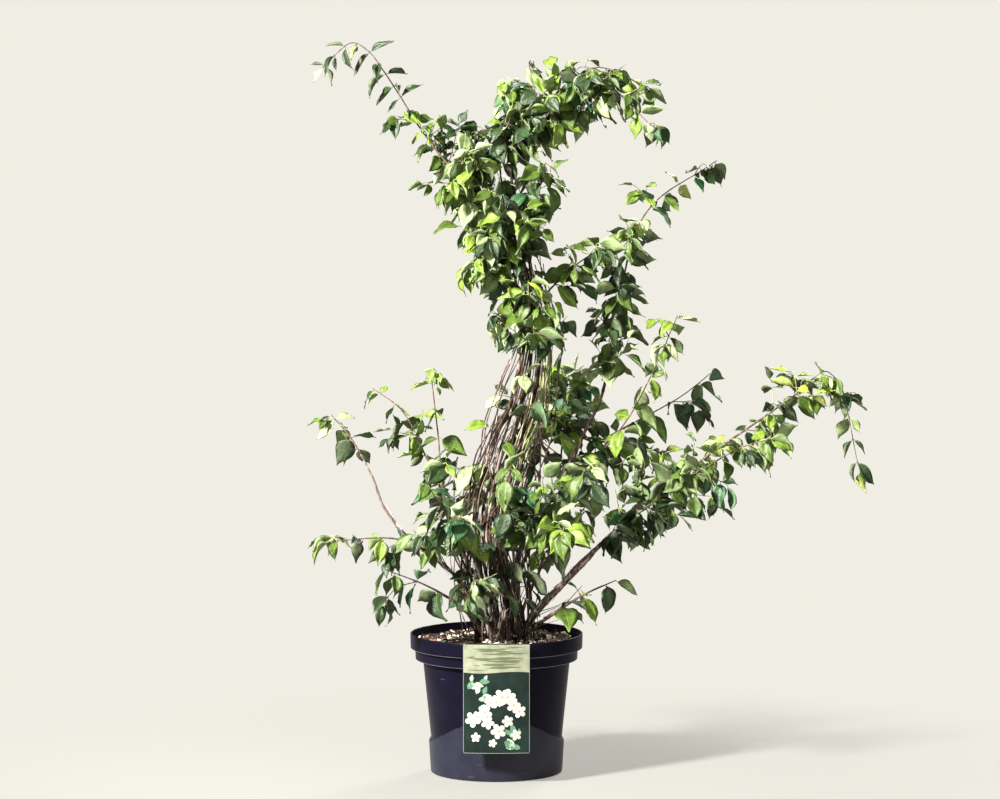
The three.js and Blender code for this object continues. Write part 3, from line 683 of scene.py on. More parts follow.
flake = {
    "count": 560,
    "length": (8, 30),
    "width": (1.0, 2.6),
    "lift": (0.8, 3.2),
    "curl": 2.2,
    "taper": 0.55,
    "thickness": 0.22,
    "seat": 0.15,  # how far its fixed end stands off the bark
    "held": 0.3,  # how much of it lies beyond the place where it is held
    "cup": 0.3,
    "steps": 5,
    "span": (0.02, 0.8),
    "lower": 1.3,  # how strongly the flakes keep to the foot
}


# a flake has three points a step, on its outer layer and again on its back
def flakeFaces():
    back = 3 * (flake["steps"] + 1)
    faces = []
    for a in range(0, back - 3, 3):
        for b in (a, a + 1):
            faces += [(b, b + 3, b + 4, b + 1), (back + b, back + b + 1, back + b + 4, back + b + 3)]
        faces += [(a, back + a, back + a + 3, a + 3), (a + 2, a + 5, back + a + 5, back + a + 2)]
    faces += [(b, b + 1, back + b + 1, back + b) for b in (0, 1)]
    faces += [(b, back + b, back + b + 1, b + 1) for b in (back - 3, back - 2)]
    return faces


def addFlake(pile, route, share, radius, rng):
    place, way = placeOn(route, share), wayOn(route, share) * rng.choice([-1, 1])
    out = unit(np.cross(way, rng.normal(size=3)))
    length, width, lift = (rng.uniform(*flake[word]) for word in ("length", "width", "lift"))
    side = np.cross(way, out)
    points = []
    for layer in (0.0, flake["thickness"]):
        for k in range(flake["steps"] + 1):
            on = k / flake["steps"]
            rise = radius + flake["seat"] + lift * on ** flake["curl"] + layer
            half = width / 2 * (1 - flake["taper"] * on**2)
            middle = place + way * (length * (on - flake["held"])) + out * rise
            drop = out * half * flake["cup"]
            points += [middle - side * half - drop, middle, middle + side * half - drop]
    heap(pile, points, flakeFaces())


def makeCanes():
    rng = np.random.default_rng(bark["seed"])
    piles = [newPile() for _ in barks]
    nodes = [[] for _ in barks]
    flakes = newPile()
    for cane in caneLines:
        kind = barkKind(cane["slot"], rng.random())
        barkTube(piles[kind], cane["route"], cane["thick"], cane["thin"], 0, rng, roundTip=False)
        nodes[kind].append("cane_" + cane["name"])
    for _ in range(flake["count"]):
        cane = caneLines[rng.integers(len(caneLines))]
        share = rng.uniform(*flake["span"]) ** flake["lower"]
        addFlake(flakes, cane["route"], share, between((cane["thick"], cane["thin"]), share), rng)
    for pile, replaced, (name, mat) in zip(piles, nodes, barks.items()):
        makePiece(name, pile, [mat], replaced)
    makePiece("barkFlakes", flakes, [flakeBark], smooth=False)


thinCanes = {
    "count": 41,
    "sink": 2,
    "footRadius": (0.8, 1.7),
    "tipRadius": 0.7,
    "footRing": (0.6, 1.75),
    "endRing": (0.45, 1.35),
    "slotSpread": (0.1, 0.9),
    "twist": 235,  # degrees a thin cane may wander round the bundle
    "step": 75,
    "stray": 7,
    "end": (420, 900),
    # this share takes the dark bark: painted shade between the crossing canes
    "darkShare": 0.6,
    "mesh": (6, 8),  # sides, and the length of a ring
    "seed": 57,
}


def makeThinCanes():
    rng, pick = luckOf(thinCanes)
    pile = newPile()
    foot = soilTop - thinCanes["sink"]
    for k in range(thinCanes["count"]):
        slot = 360 * (k + pick("slotSpread")) / thinCanes["count"]
        turn = rng.uniform(-1, 1) * thinCanes["twist"]
        end = pick("end")
        rings = pick("footRing"), pick("endRing")
        rounds = max(2, int((end - foot) / thinCanes["step"]))
        points = []
        for j in range(rounds + 1):
            share = j / rounds
            place = inBundle(slot + turn * share, between(rings, share), between((foot, end), share))
            points.append(place + rng.normal(0, thinCanes["stray"], 3) * (j > 0) * (1, 1, 0))
        radius = pick("footRadius")
        dark = rng.random() < thinCanes["darkShare"]
        kind = shadedKind if dark else barkKind(slot + turn / 2, rng.random())
        barkTube(pile, makeRoute(points), radius, thinCanes["tipRadius"], kind, rng, thinCanes["mesh"])
    makePiece("thinCanes", pile, list(barks.values()))


drySpurs = {
    "count": 150,
    "span": (0.08, 0.9),
    "length": (20, 60),
    "radius": (0.5, 0.9),
    "tipRadius": 0.35,
    "forward": 0.8,
    "spread": (0.2, 0.8),  # how far they lean away from their cane
    "reach": 78,  # only canes this near the bundle's middle line carry them
    "kink": 2.5,
    # this share takes the dark bark: painted shade
    "darkShare": 0.5,
    "slot": 180,  # the others take the kinds of this side of the bundle
    "mesh": (5, 7),
    "seed": 91,
}


def makeSpurs():
    rng, pick = luckOf(drySpurs)
    pile = newPile()
    for _ in range(drySpurs["count"]):
        route = caneLines[rng.integers(len(caneLines))]["route"]
        share = pick("span")
        start, way = placeOn(route, share), wayOn(route, share)
        if math.hypot(start[0] - bundleAt(start[2])["lean"], start[1]) > drySpurs["reach"]:
            continue
        side = unit(np.cross(way, rng.normal(size=3)))
        length = pick("length")
        tip = start + (way * drySpurs["forward"] + side * pick("spread")) * length
        knee = (start + tip) / 2 + rng.normal(0, drySpurs["kink"], 3)
        dark = rng.random() < drySpurs["darkShare"]
        kind = shadedKind if dark else barkKind(drySpurs["slot"], rng.random())
        radius = pick("radius")
        route = makeRoute([start, knee, tip])
        barkTube(pile, route, radius, drySpurs["tipRadius"], kind, rng, drySpurs["mesh"])
    makePiece("drySpurs", pile, list(barks.values()))


youngCanes = {
    "count": 11,
    "radius": (0.75, 1.15),
    "tipRadius": 0.7,
    "start": (520, 600),
    "end": (660, 780),
    "slots": (-80, 40),
    "drift": (-40, 40),
    "ring": (0.8, 1.04),
    "spans": 3,
    "footRing": 0.6,
    "footDrop": 50,
    "tipRing": 0.5,
    "tipRise": 40,
    "mesh": (6, 9),
    "seed": 23,
}


def makeYoungCanes():
    rng, pick = luckOf(youngCanes)
    pile = newPile()
    spans = youngCanes["spans"]
    for _ in range(youngCanes["count"]):
        slot = pick("slots")
        low, high = pick("start"), pick("end")
        drift = pick("drift")
        points = [inBundle(slot, youngCanes["footRing"], low - youngCanes["footDrop"])]
        for j in range(spans + 1):
            ring = pick("ring")
            points.append(inBundle(slot + drift * j / spans, ring, low + (high - low) * j / spans))
        points.append(inBundle(slot + drift, youngCanes["tipRing"], high + youngCanes["tipRise"]))
        radius = pick("radius")
        barkTube(pile, makeRoute(points), radius, youngCanes["tipRadius"], 0, rng, youngCanes["mesh"])
    makePiece("youngCanes", pile, [youngBark])


stub = {
    "line": ((3, -33, -2), (9, -32, 26), (17, -30, 66)),  # the heights are above the soil
    "radii": (7.6, 5.2),
    "mesh": (14, 3),
    "flakes": 46,
    "flakeSpan": (0.05, 0.85),
    "flakeRadius": 6.4,
    "seed": 32,
}


def makeStub():
    rng, pick = luckOf(stub)
    pile = newPile()
    route = makeRoute([(x, y, soilTop + up) for x, y, up in stub["line"]])
    barkTube(pile, route, *stub["radii"], 1, rng, stub["mesh"])  # 1 is the brown bark, and 0 the flakes
    for _ in range(stub["flakes"]):
        addFlake(pile, route, pick("flakeSpan"), stub["flakeRadius"], rng)
    makePiece("oldStub", pile, [flakeBark, brownBark])


makeCanes()
makeThinCanes()
makeSpurs()
makeYoungCanes()
makeStub()
print("bark:", len(caneLines), "canes,", thinCanes["count"], "thin canes, spurs, flakes and stub")


# leaves: one blade template, shaped leaf by leaf

blade = {
    "length": 49,
    "width": 33,
    "thickness": 0.34,
    "rows": (0.0, 0.05, 0.12, 0.21, 0.31, 0.42, 0.54, 0.66, 0.78, 0.9, 1.0),
    # its half width along the way from the round base to the long drip tip
    "outline": ((0, 0.06), (0.04, 0.36), (0.1, 0.66), (0.2, 0.93), (0.3, 1), (0.4, 0.95), (0.5, 0.82),
                (0.6, 0.63), (0.7, 0.42), (0.8, 0.22), (0.88, 0.11), (0.95, 0.055), (1, 0.02)),
    "columns": (-1, -0.56, -0.045, 0.045, 0.56, 1),
    "underColumns": (-0.56, 0, 0.56),
    "slant": 0.085,  # how far the side veins lean to the tip
    "vein": 0.034,  # their relief, by the length
    "veinOut": 1.25,
    "veinEnd": 1.1,
    "wave": 0.04,  # the edge's wave, by the length
    "waves": 9,
    "waveSplit": 0.1,
    "leastCurl": 0.001,
    "stalk": 4.5,
    "stalkFront": 0.8,
    "stalkRadius": 0.55,
    "stalkTurn": 0.5,
    "stalkSeat": 0.6,  # how deep in its stem it starts, by the stem's radius
}
upperFace, underFace, ribFace = range(3)


def bladeTemplate():
    rows, columns, low = (len(blade[word]) for word in ("rows", "columns", "underColumns"))
    marks = [(row, column, 0) for row in blade["rows"] for column in blade["columns"]]
    under = len(marks)
    marks += [(row, column, -1) for row in blade["rows"] for column in blade["underColumns"]]
    stalk = len(marks)  # three points at each end of it
    marks += [(0, 0, 0)] * 6
    extra = np.zeros((len(marks), 3))
    for k in range(6):
        angle = (k % 3) / 3 * 2 * math.pi + blade["stalkTurn"]
        y, z, x = roundAt(blade["stalkRadius"], angle, -blade["stalk"] if k < 3 else blade["stalkFront"])
        extra[stalk + k] = x, y, z
    faces, kinds = [], []
    for r in range(rows - 1):
        left = r * columns
        right = left + columns - 1
        for a in range(left, right):
            faces.append((a, a + columns, a + columns + 1, a + 1))
            kinds.append(ribFace if a == left + 2 else upperFace)
        a = under + r * low
        b = a + low
        faces += [(left, a, b, left + columns), (a, a + 1, b + 1, b), (a + 1, a + 2, b + 2, b + 1),
                  (a + 2, right, right + columns, b + 2)]
        kinds += [underFace] * 4
    for r in (0, rows - 1):
        ring = [r * columns + c for c in range(columns)] + [under + r * low + c for c in (2, 1, 0)]
        faces.append(tuple(ring if r == 0 else ring[::-1]))
        kinds.append(underFace)
    faces += [(stalk + k, stalk + (k + 1) % 3, stalk + 3 + (k + 1) % 3, stalk + 3 + k) for k in range(3)]
    kinds += [ribFace] * 3
    return *np.array(marks, dtype=float).T.copy(), extra, faces, kinds


bladeT, bladeU, bladeLayer, bladeExtra, bladeFaces, bladeKinds = bladeTemplate()
bladeWidths = np.interp(bladeT, *zip(*blade["outline"]))


def bladePoints(leaf):
    length, fold = leaf["length"], leaf["fold"]
    out = np.abs(bladeU)
    t = np.clip(bladeT + blade["slant"] * out * np.sin(np.pi * bladeT), 0, 1)
    side = bladeU * leaf["width"] / 2 * bladeWidths
    row = np.searchsorted(blade["rows"], bladeT)
    ripple = np.where(row % 2 == 0, 1.0, -1.0) * blade["vein"] * length
    swell = np.sin(np.pi * np.clip(bladeT * blade["veinEnd"], 0, 1))
    ripple = ripple * out * (blade["veinOut"] - out) * swell
    wave = blade["wave"] * length * np.sin(leaf["wavePhase"] + bladeT * blade["waves"])
    wave = wave * bladeU**2 * np.sign(bladeU + blade["waveSplit"])
    y = side * math.cos(fold) + bladeExtra[:, 1]
    z = np.abs(side) * math.sin(fold) + ripple + wave + bladeLayer * blade["thickness"] + bladeExtra[:, 2]
    # bent along its length, then twisted
    bend = leaf["curl"] * t
    curl = leaf["curl"] if abs(leaf["curl"]) > blade["leastCurl"] else blade["leastCurl"]
    x = length * np.sin(bend) / curl + z * np.sin(bend) + bladeExtra[:, 0]
    z = -length * (1 - np.cos(bend)) / curl + z * np.cos(bend)
    twist = leaf["twist"] * t
    y, z = y * np.cos(twist) - z * np.sin(twist), y * np.sin(twist) + z * np.cos(twist)
    start = leaf["root"] + leaf["along"] * (blade["stalk"] + leaf["stemRadius"] * blade["stalkSeat"])
    return start + np.stack([x, y, z], axis=1) @ np.stack([leaf["along"], leaf["across"], leaf["over"]])


# growth: the solids' rule, with pairs closer together and the side twigs forked once more

growth = {
    "pairSpacing": 28,
    "pairStart": 0.55,
    "fewestPairs": 3,
    "fullest": 1.25,
    "turnSpread": 0.9,
    "forward": 0.4,
    "shrink": 0.2,
    "stemEnd": 0.6,  # its radius at the last pair
    "stemTip": 0.7,
    "stemMesh": (7, 6),
    "lastPlace": 0.99,
    "lastLeaf": (0.8, 2.4, 0.5),
    "size": (0.7, 1.34),
    "widthSpread": (0.8, 1.1),
    "tries": 5,
    "hang": (0.15, 1.45),
    "swing": 0.75,
    "roll": 2.3,
    "upright": 0.15,  # a leaf this near to upright takes its own side for across
    "fold": (0.06, 0.62),
    "curl": (-0.3, 0.95),
    "twist": (-0.7, 0.7),
    # shoots whose outer leaves have folded up in the sun
    "narrow": {"foliage_top_left": 0.7, "foliage_far_right_tip": 0.85},
    "narrowFrom": 0.48,
    "narrowFold": (0.7, 1.15),
    "narrowDark": 0.86,
    "reachSlack": 10,  # how far past its solid a leaf may reach
    "potClear": (3, 6),  # what stays free outside the rim and above the soil
    # these shoots take the lighter young greens towards their tips: young growth, and on some painted light
    # that brightens the lit crown
    "youngAndLitShoots": ("top_left", "top_right", "right_drooping", "right_thin", "far_right", "high_left",
                    "crest_right", "right_middle", "right_arch", "middle_left"),
    "piece": 700,  # leaves in one piece at most
    "seed": 1000,
    "seedStep": 77,
}

leafColours = [
    # name, upper side, underside, light through it
    ("deepGreen", (0.021, 0.051, 0.009), (0.105, 0.140, 0.062), (0.10, 0.22, 0.02)),
    ("seaGreen", (0.026, 0.096, 0.028), (0.11, 0.20, 0.09), (0.08, 0.30, 0.05)),
    ("midGreen", (0.084, 0.144, 0.015), (0.19, 0.26, 0.105), (0.22, 0.42, 0.03)),
    ("freshGreen", (0.185, 0.284, 0.030), (0.30, 0.39, 0.16), (0.36, 0.58, 0.05)),
    ("limeGreen", (0.300, 0.385, 0.034), (0.43, 0.50, 0.14), (0.56, 0.72, 0.04)),
    ("paleGreen", (0.350, 0.445, 0.205), (0.45, 0.52, 0.29), (0.48, 0.58, 0.22)),
]
deepGreen, seaGreen = 0, 1  # the two dark ones
# how the six colours are dealt out along a shoot, and from which share of its length
colourShares = {
    "old": (0.38, 0.11, 0.28, 0.14, 0.00, 0.09),
    "middle": (0.27, 0.10, 0.29, 0.23, 0.01, 0.10),
    "young": (0.12, 0.04, 0.26, 0.34, 0.12, 0.12),
}
ageFrom = {"middle": 0.4, "middleOfYoung": 0.3, "young": 0.6}

leaves = []
twigs = []


def sideOf(way, quarter):
    flat = orSpare(np.cross(way, [0.0, 0.0, -1.0]), np.array([1.0, 0.0, 0.0]))
    return turned(unit(flat), way, quarter)


# pairs of leaves stand a quarter turn from one to the next
def pairSide(rng, way, k, spread):
    return sideOf(way, (k % 2) * math.pi / 2 + rng.uniform(-0.5, 0.5) * spread)


def leafCorners(leaf, widest=0.45):
    middle = leaf["root"] + leaf["along"] * leaf["length"] * widest
    half = leaf["across"] * leaf["width"] / 2
    tip = leaf["root"] + leaf["along"] * (leaf["length"] + blade["stalk"])
    return np.array([tip, middle + half, middle - half])


def staysInReach(corners, reach):
    low, high = reach
    inside = np.all(corners >= low) and np.all(corners <= high)
    flat = np.hypot(corners[:, 0], corners[:, 1])
    aside, above = growth["potClear"]
    overPot = np.any((flat < potSize["rimRadius"] + aside) & (corners[:, 2] < soilTop + above))
    return inside and not overPot


# fit says a leaf's share of the scale, how far forward it points, and how thick its stem is
def addLeaf(rng, root, way, side, scale, fit, colour, reach, slim=1):
    smaller, forward, stemRadius = fit
    size = scale * smaller * rng.uniform(*growth["size"])
    if slim < 1 and rng.random() < growth["narrowDark"]:
        colour = deepGreen
    fold = growth["narrowFold"] if slim < 1 else growth["fold"]
    for _ in range(growth["tries"]):
        along = side + way * forward + np.cross(side, way) * rng.uniform(-1, 1) * growth["swing"]
        along = unit(unit(along) - upBy(rng.uniform(*growth["hang"])))
        across = orSpare(np.cross([0.0, 0.0, 1.0], along), np.cross(side, along), growth["upright"])
        across = turned(unit(across), along, rng.uniform(-0.5, 0.5) * growth["roll"])
        leaf = {
            "root": root, "along": along, "across": across, "over": np.cross(along, across),
            "length": blade["length"] * size,
            "width": blade["width"] * size * rng.uniform(*growth["widthSpread"]) * slim,
            "fold": rng.uniform(*fold), "curl": rng.uniform(*growth["curl"]),
            "twist": rng.uniform(*growth["twist"]), "wavePhase": rng.uniform(*anyPhase),
            "colour": colour, "stemRadius": stemRadius,
        }
        if staysInReach(leafCorners(leaf), reach):
            leaves.append(leaf)
            return


def pickColour(rng, share, young):
    kind = "old" if share < ageFrom["middle"] else "middle"
    if young and share > ageFrom["middleOfYoung"]:
        kind = "middle" if share < ageFrom["young"] else "young"
    return int(rng.choice(len(leafColours), p=colourShares[kind]))


twigRule = {
    "share": 0.52,  # how often a leaf of a pair has a side twig
    "usual": 3,  # side twigs in the row of an ordinary shoot
    "thinning": 0.7,  # how much rarer they get towards the tip
    "out": 0.85,
    "forward": 0.5,
    "lift": (0.0, 0.4),
    "length": (0.6, 1.4),
    "lowLonger": 0.45,  # how much longer the lowest twigs are than the last
    "longest": 84,
    "scale": 0.94,
    "sag": 0.12,
    "sagHold": 0.35,
    "bow": 0.07,
    "foot": (1.1, 0.75),  # radius of a twig and of a fork
    "tip": 0.45,
    "youngFrom": 0.62,
    "pairSpacing": 25,
    "pairStart": 0.6,
    "turnSpread": 1.2,
    "shrink": 0.15,
    "leaf": (1, 0.45, 0.6),
    "lastLeaf": (0.9, 2.2, 0.4),
    "forkShare": 0.42,
    "forkOut": 0.8,
    "forkForward": 0.6,
    "forkLift": 0.1,
    "forkLength": (13, 32),
    "forkScale": 0.85,
    "forkAge": 0.1,
    "rings": 6,
    "sides": 5,
}


def growTwig(rng, start, way, length, scale, share, shoot, level):
    sag = upBy(-twigRule["sag"] * length * rng.uniform(0, 1))
    tip = start + way * length + sag
    bow = np.cross(way, rng.normal(size=3)) * length * twigRule["bow"]
    route = makeRoute([start, (start + tip) / 2 + bow - sag * twigRule["sagHold"], tip], twigRule["rings"])
    reach = shoot["reach"]
    if not staysInReach(route["line"], reach):
        return
    young = shoot["name"] in growth["youngAndLitShoots"]
    fresh = share > twigRule["youngFrom"] or young and level > 1
    twigs.append({"route": route, "foot": twigRule["foot"][level - 1], "young": fresh})
    colour = pickColour(rng, share, young)
    pairs = max(1, round(length / twigRule["pairSpacing"]))
    for k in range(pairs):
        at = (k + twigRule["pairStart"]) / pairs
        place, here = placeOn(route, at), wayOn(route, at)
        side = pairSide(rng, here, k, twigRule["turnSpread"])
        size = scale * (1 - twigRule["shrink"] * at)
        for one in (side, -side):
            addLeaf(rng, place, here, one, size, twigRule["leaf"], colour, reach)
        if level == 1 and rng.random() < twigRule["forkShare"]:
            fork = side * rng.choice([-1, 1]) * twigRule["forkOut"] + here * twigRule["forkForward"]
            fork = unit(fork + upBy(twigRule["forkLift"]))
            further = rng.uniform(*twigRule["forkLength"])
            smaller = scale * twigRule["forkScale"]
            growTwig(rng, place, fork, further, smaller, share + twigRule["forkAge"], shoot, 2)
    end = wayOn(route, 1)
    addLeaf(rng, tip, end, sideOf(end, 0), scale, twigRule["lastLeaf"], colour, reach)


def growShoot(shoot, index):
    rng = np.random.default_rng(growth["seed"] + growth["seedStep"] * index)
    stem = shoot["stem"]
    low, high = (np.array(corner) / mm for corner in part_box(shoot["node"]))
    shoot["reach"] = low - growth["reachSlack"], high + growth["reachSlack"]
    young = shoot["name"] in growth["youngAndLitShoots"]
    pairs = round(stem["length"] / growth["pairSpacing"] * min(shoot["full"], growth["fullest"]))
    pairs = max(growth["fewestPairs"], pairs)
    twigChance = twigRule["share"] * shoot["full"] * (shoot["sprays"] / twigRule["usual"]) ** 0.5
    for k in range(pairs):
        share = (k + growth["pairStart"]) / pairs
        root, way = placeOn(stem, share), wayOn(stem, share)
        side = pairSide(rng, way, k, growth["turnSpread"])
        scale = shoot["leafScale"] * (1 - growth["shrink"] * share)
        colour = pickColour(rng, share, young)
        fit = 1, growth["forward"], between((shoot["radius"], growth["stemEnd"]), share)
        slim = growth["narrow"].get(shoot["node"], 1) if share > growth["narrowFrom"] else 1
        for one in (side, -side):
            addLeaf(rng, root, way, one, scale, fit, colour, shoot["reach"], slim)
            if rng.random() < twigChance * (1 - twigRule["thinning"] * share) and slim == 1:
                lift = upBy(rng.uniform(*twigRule["lift"]))
                out = unit(one * twigRule["out"] + way * twigRule["forward"] + lift)
                longer = 1 + twigRule["lowLonger"] * (1 - 2 * share)
                length = shoot["sprayLength"] * rng.uniform(*twigRule["length"]) * longer
                length = min(twigRule["longest"], length)
                growTwig(rng, root, out, length, scale * twigRule["scale"], share, shoot, 1)
    end = wayOn(stem, 1)
    last = placeOn(stem, growth["lastPlace"])
    colour = pickColour(rng, 1, young)
    addLeaf(rng, last, end, sideOf(end, 0), shoot["leafScale"], growth["lastLeaf"], colour, shoot["reach"])


# a few short leafy twigs that sprout from the bare canes of the bundle
sprouts = {
    "count": 38,
    "heights": (256, 650),
    "shaded": 400,  # below this height they stand in the shade of the crown, and are dark
    "length": (9, 26),
    "rise": (0.1, 0.9),
    "foot": 0.8,
    "turn": (-0.6, 0.6),
    "leafScale": (0.75, 1.12),
    "pairShare": 0.35,  # how often one carries a pair of leaves below its last
    "pairLeaf": (0.8, 0.5, 0.6),
    "lastLeaf": (1, 2.2, 0.4),
    "seed": 54,
}


def growSprouts():
    rng, pick = luckOf(sprouts)
    reach = tuple(np.array(corner) / mm for corner in cadBox)
    for _ in range(sprouts["count"]):
        up = pick("heights")
        tall = [cane for cane in caneLines if cane["leave"] > up]
        route = tall[rng.integers(len(tall))]["route"]
        share = float(np.interp(up, route["line"][:, 2], route["along"] / route["length"]))
        start = placeOn(route, share)
        out = unit(start - (bundleAt(up)["lean"], 0, up))
        way = unit(out + upBy(pick("rise")))
        tip = start + way * pick("length")
        middle = (start + tip) / 2
        route = makeRoute([start, middle, tip], twigRule["rings"])
        twigs.append({"route": route, "foot": sprouts["foot"], "young": False})
        colour, scale = pickColour(rng, 0, False), pick("leafScale")
        if up < sprouts["shaded"] and colour > seaGreen:
            colour = deepGreen
        side = sideOf(way, pick("turn"))
        if rng.random() < sprouts["pairShare"]:
            for one in (side, -side):
                addLeaf(rng, middle, way, one, scale, sprouts["pairLeaf"], colour, reach)
        addLeaf(rng, tip, way, side, scale, sprouts["lastLeaf"], colour, reach)


def makeFoliage():
    for index, shoot in enumerate(shoots):
        growShoot(shoot, index)
    growSprouts()
    nodes = [shoot["node"] for shoot in shoots]
    stems, young = newPile(), newPile()
    rng = np.random.default_rng(growth["seed"])
    for shoot in shoots:
        barkTube(stems, shoot["stem"], shoot["radius"], growth["stemTip"], 0, rng, growth["stemMesh"])
    for twig in twigs:
        line = placeOn(twig["route"], np.linspace(0, 1, twigRule["rings"]))
        radii = np.linspace(twig["foot"], twigRule["tip"], twigRule["rings"])
        tube(young if twig["young"] else stems, line, radii, twigRule["sides"], 0, roundTip=True)
    makePiece("shootStems", stems, [twigBark], nodes)
    makePiece("youngTwigs", young, [youngBark], nodes)
    for k, (name, upper, under, glow) in enumerate(leafColours):
        mats = [
            leafMaterial(name + "Upper", upper, glow, "upper"),
            leafMaterial(name + "Under", under, glow, "under"),
            leafMaterial(name + "Rib", shaded(upper, leafLook["ribLighter"]), glow, "rib"),
        ]
        group = [leaf for leaf in leaves if leaf["colour"] == k]
        for part in range(0, len(group), growth["piece"]):
            pile = newPile()
            for leaf in group[part:part + growth["piece"]]:
                heap(pile, bladePoints(leaf), bladeFaces, bladeKinds)
            makePiece(f"leaves_{name}_{part // growth['piece'] + 1}", pile, mats, nodes)
    print("foliage:", len(leaves), "leaves,", len(twigs), "twigs")


makeFoliage()


# pot: turned wall with a rolled lip, a collar, and a foot band that rises front and back

stepTop = potSize["height"] - potSize["rimDepth"]
bodyTop = stepTop - potSize["stepDepth"]

potLook = {
    "around": 176,
    "lipRound": 1.3,
    "under": ((0.5, 0.9), (40, 0.7)),  # radius and height
    "underEdge": ((-6, 0.4), (-2, 0.0)),  # in from the base radius, and height
    "footRise": 50,
    "footEdge": 2.4,  # the height over which the foot band steps back
    "footProud": 0.9,
    "footTurn": 10,  # the underside and the rounded edge below this are foot too
    "wallFrom": 6,
    "wallStep": 2.0,
    "wallPast": 12,  # how far above the foot band the wall has fine rows
    "wallRows": 10,  # coarse ones above them
    "wallGap": (6, 4),
    # how far the step, the rim and the inside draw in or out, and at which height from their ends
    "stepDraft": ((0.5, -3), (1, -0.5)),
    "rimSeat": 0.5,
    "rimDraft": ((-0.3, 8), (-0.1, -6)),
    "insideDraft": ((-0.6, 6), (0, -4)),
    "edgeHighlight": 0.9,  # rows this near to an edge of the collar get a painted highlight in lighter plastic
    "insideRows": 12,
}

potPlastic = plainMaterial("potPlastic", (0.0046, 0.0038, 0.0110), 0.29, 30, 0.25, 0.085, 0.0002)
# the foot band's lighter blue-grey is partly dust, partly a painted reflection of the ground
potFootPlastic = plainMaterial("potFootPlastic", (0.0135, 0.0142, 0.0270), 0.34, 40, 0.2, 0.34, 0.0002)
# painted highlight: lighter plastic on the collar's edges, where they catch the light
potHighlightPlastic = plainMaterial("potHighlightPlastic", (0.22, 0.21, 0.27), 0.35, 60, 0.3)
scuffPlastic = plainMaterial("scuffPlastic", (0.07, 0.07, 0.09), 0.6, 200, 0.3)


def wallRadius(z):
    share = (z - potSize["footBandHeight"]) / (bodyTop - potSize["footBandHeight"])
    return between((potSize["bodyFootRadius"], potSize["bodyTopRadius"]), share)


def bandRadius(z):
    low = potSize["baseRadius"] + potSize["edge"]
    reach = potSize["footBandRadius"] - potSize["baseRadius"] - potSize["edge"]
    return low + reach * min(z / potSize["footBandHeight"], 1)


def arcPoints(centre, radius, start, end, steps):
    x, y = centre
    angles = [math.radians(start + (end - start) * k / steps) for k in range(steps + 1)]
    return [(x + radius * math.cos(angle), y + radius * math.sin(angle)) for angle in angles]


def potRows():
    size, r = potSize, potLook["lipRound"]
    rim, step, top = size["rimRadius"], size["stepRadius"], size["height"]
    rows = [*potLook["under"], *((size["baseRadius"] + out, up) for out, up in potLook["underEdge"])]
    rows += arcPoints((size["baseRadius"], size["edge"]), size["edge"], -90, 0, 4)
    fine = size["footBandHeight"] + potLook["footRise"] + potLook["wallPast"]
    zs = list(np.arange(potLook["wallFrom"], fine, potLook["wallStep"]))
    low, high = potLook["wallGap"]
    rows += [("wall", z) for z in [*zs, *np.linspace(zs[-1] + low, bodyTop - high, potLook["wallRows"])]]
    rows += [(size["bodyTopRadius"], bodyTop - 1)]
    rows += arcPoints((step - r, bodyTop + r), r, -90, 0, 4)
    rows += [(step + out, stepTop + up) for out, up in potLook["stepDraft"]]
    rows += arcPoints((rim - potLook["rimSeat"] - r, stepTop + r), r, -90, 0, 4)
    rows += [(rim + out, z + up) for z, (out, up) in zip((stepTop, top), potLook["rimDraft"])]
    rows += arcPoints((rim - r, top - r), r, 0, 180, 8)
    inner = rim - size["wall"], step - size["wall"]
    rows += [(radius + out, stepTop + up) for radius, (out, up) in zip(inner, potLook["insideDraft"])]
    return rows


def makePot():
    around, edge = potLook["around"], potLook["footEdge"]
    rows = potRows()
    points, isFoot = [], []
    for row in rows:
        for j in range(around):
            angle = 2 * math.pi * j / around
            if row[0] == "wall":
                z = row[1]
                # the sine's square is 1 at the front and the back
                top = potSize["footBandHeight"] + potLook["footRise"] * math.sin(angle) ** 2
                blend = min(max((top + edge / 2 - z) / edge, 0), 1)
                radius = wallRadius(z)
                proud = max(bandRadius(z), radius + potLook["footProud"])
                radius += (proud - radius) * blend
                isFoot.append(blend > 0.5)
            else:
                radius, z = row
                isFoot.append(z < potLook["footTurn"])
            points.append(roundAt(radius, angle, z))
    faces = [*ringFaces(len(rows), around), tuple(range(around - 1, -1, -1))]
    body, foot, edgeHighlight = range(3)
    kinds = []
    for k in range(len(rows) - 1):
        z = (points[k * around][2] + points[(k + 1) * around][2]) / 2
        # rows at the edges of the collar take the painted highlight
        atEdge = min(abs(z - stepTop), abs(z - bodyTop)) < potLook["edgeHighlight"]
        atEdge = atEdge and k < len(rows) - potLook["insideRows"]
        for j in range(k * around, (k + 1) * around):
            kinds.append(edgeHighlight if atEdge else foot if isFoot[j] and isFoot[j + around] else body)
    kinds.append(foot)
    pile = newPile()
    heap(pile, points, faces, kinds)
    makePiece("pot_shell", pile, [potPlastic, potFootPlastic, potHighlightPlastic], ["pot"])


scuff = {
    "count": 26,
    "lowShare": 0.7,
    "lowHeights": (6, 40),
    "highHeights": (105, 175),
    "proud": 0.12,
    "length": (3, 15),
    "lowTilt": (-6, 6),
    "highTilt": (-14, 14),
    "width": (0.3, 0.9),
    "steps": 4,
    "blunt": 0.4,
    "seed": 8,
}


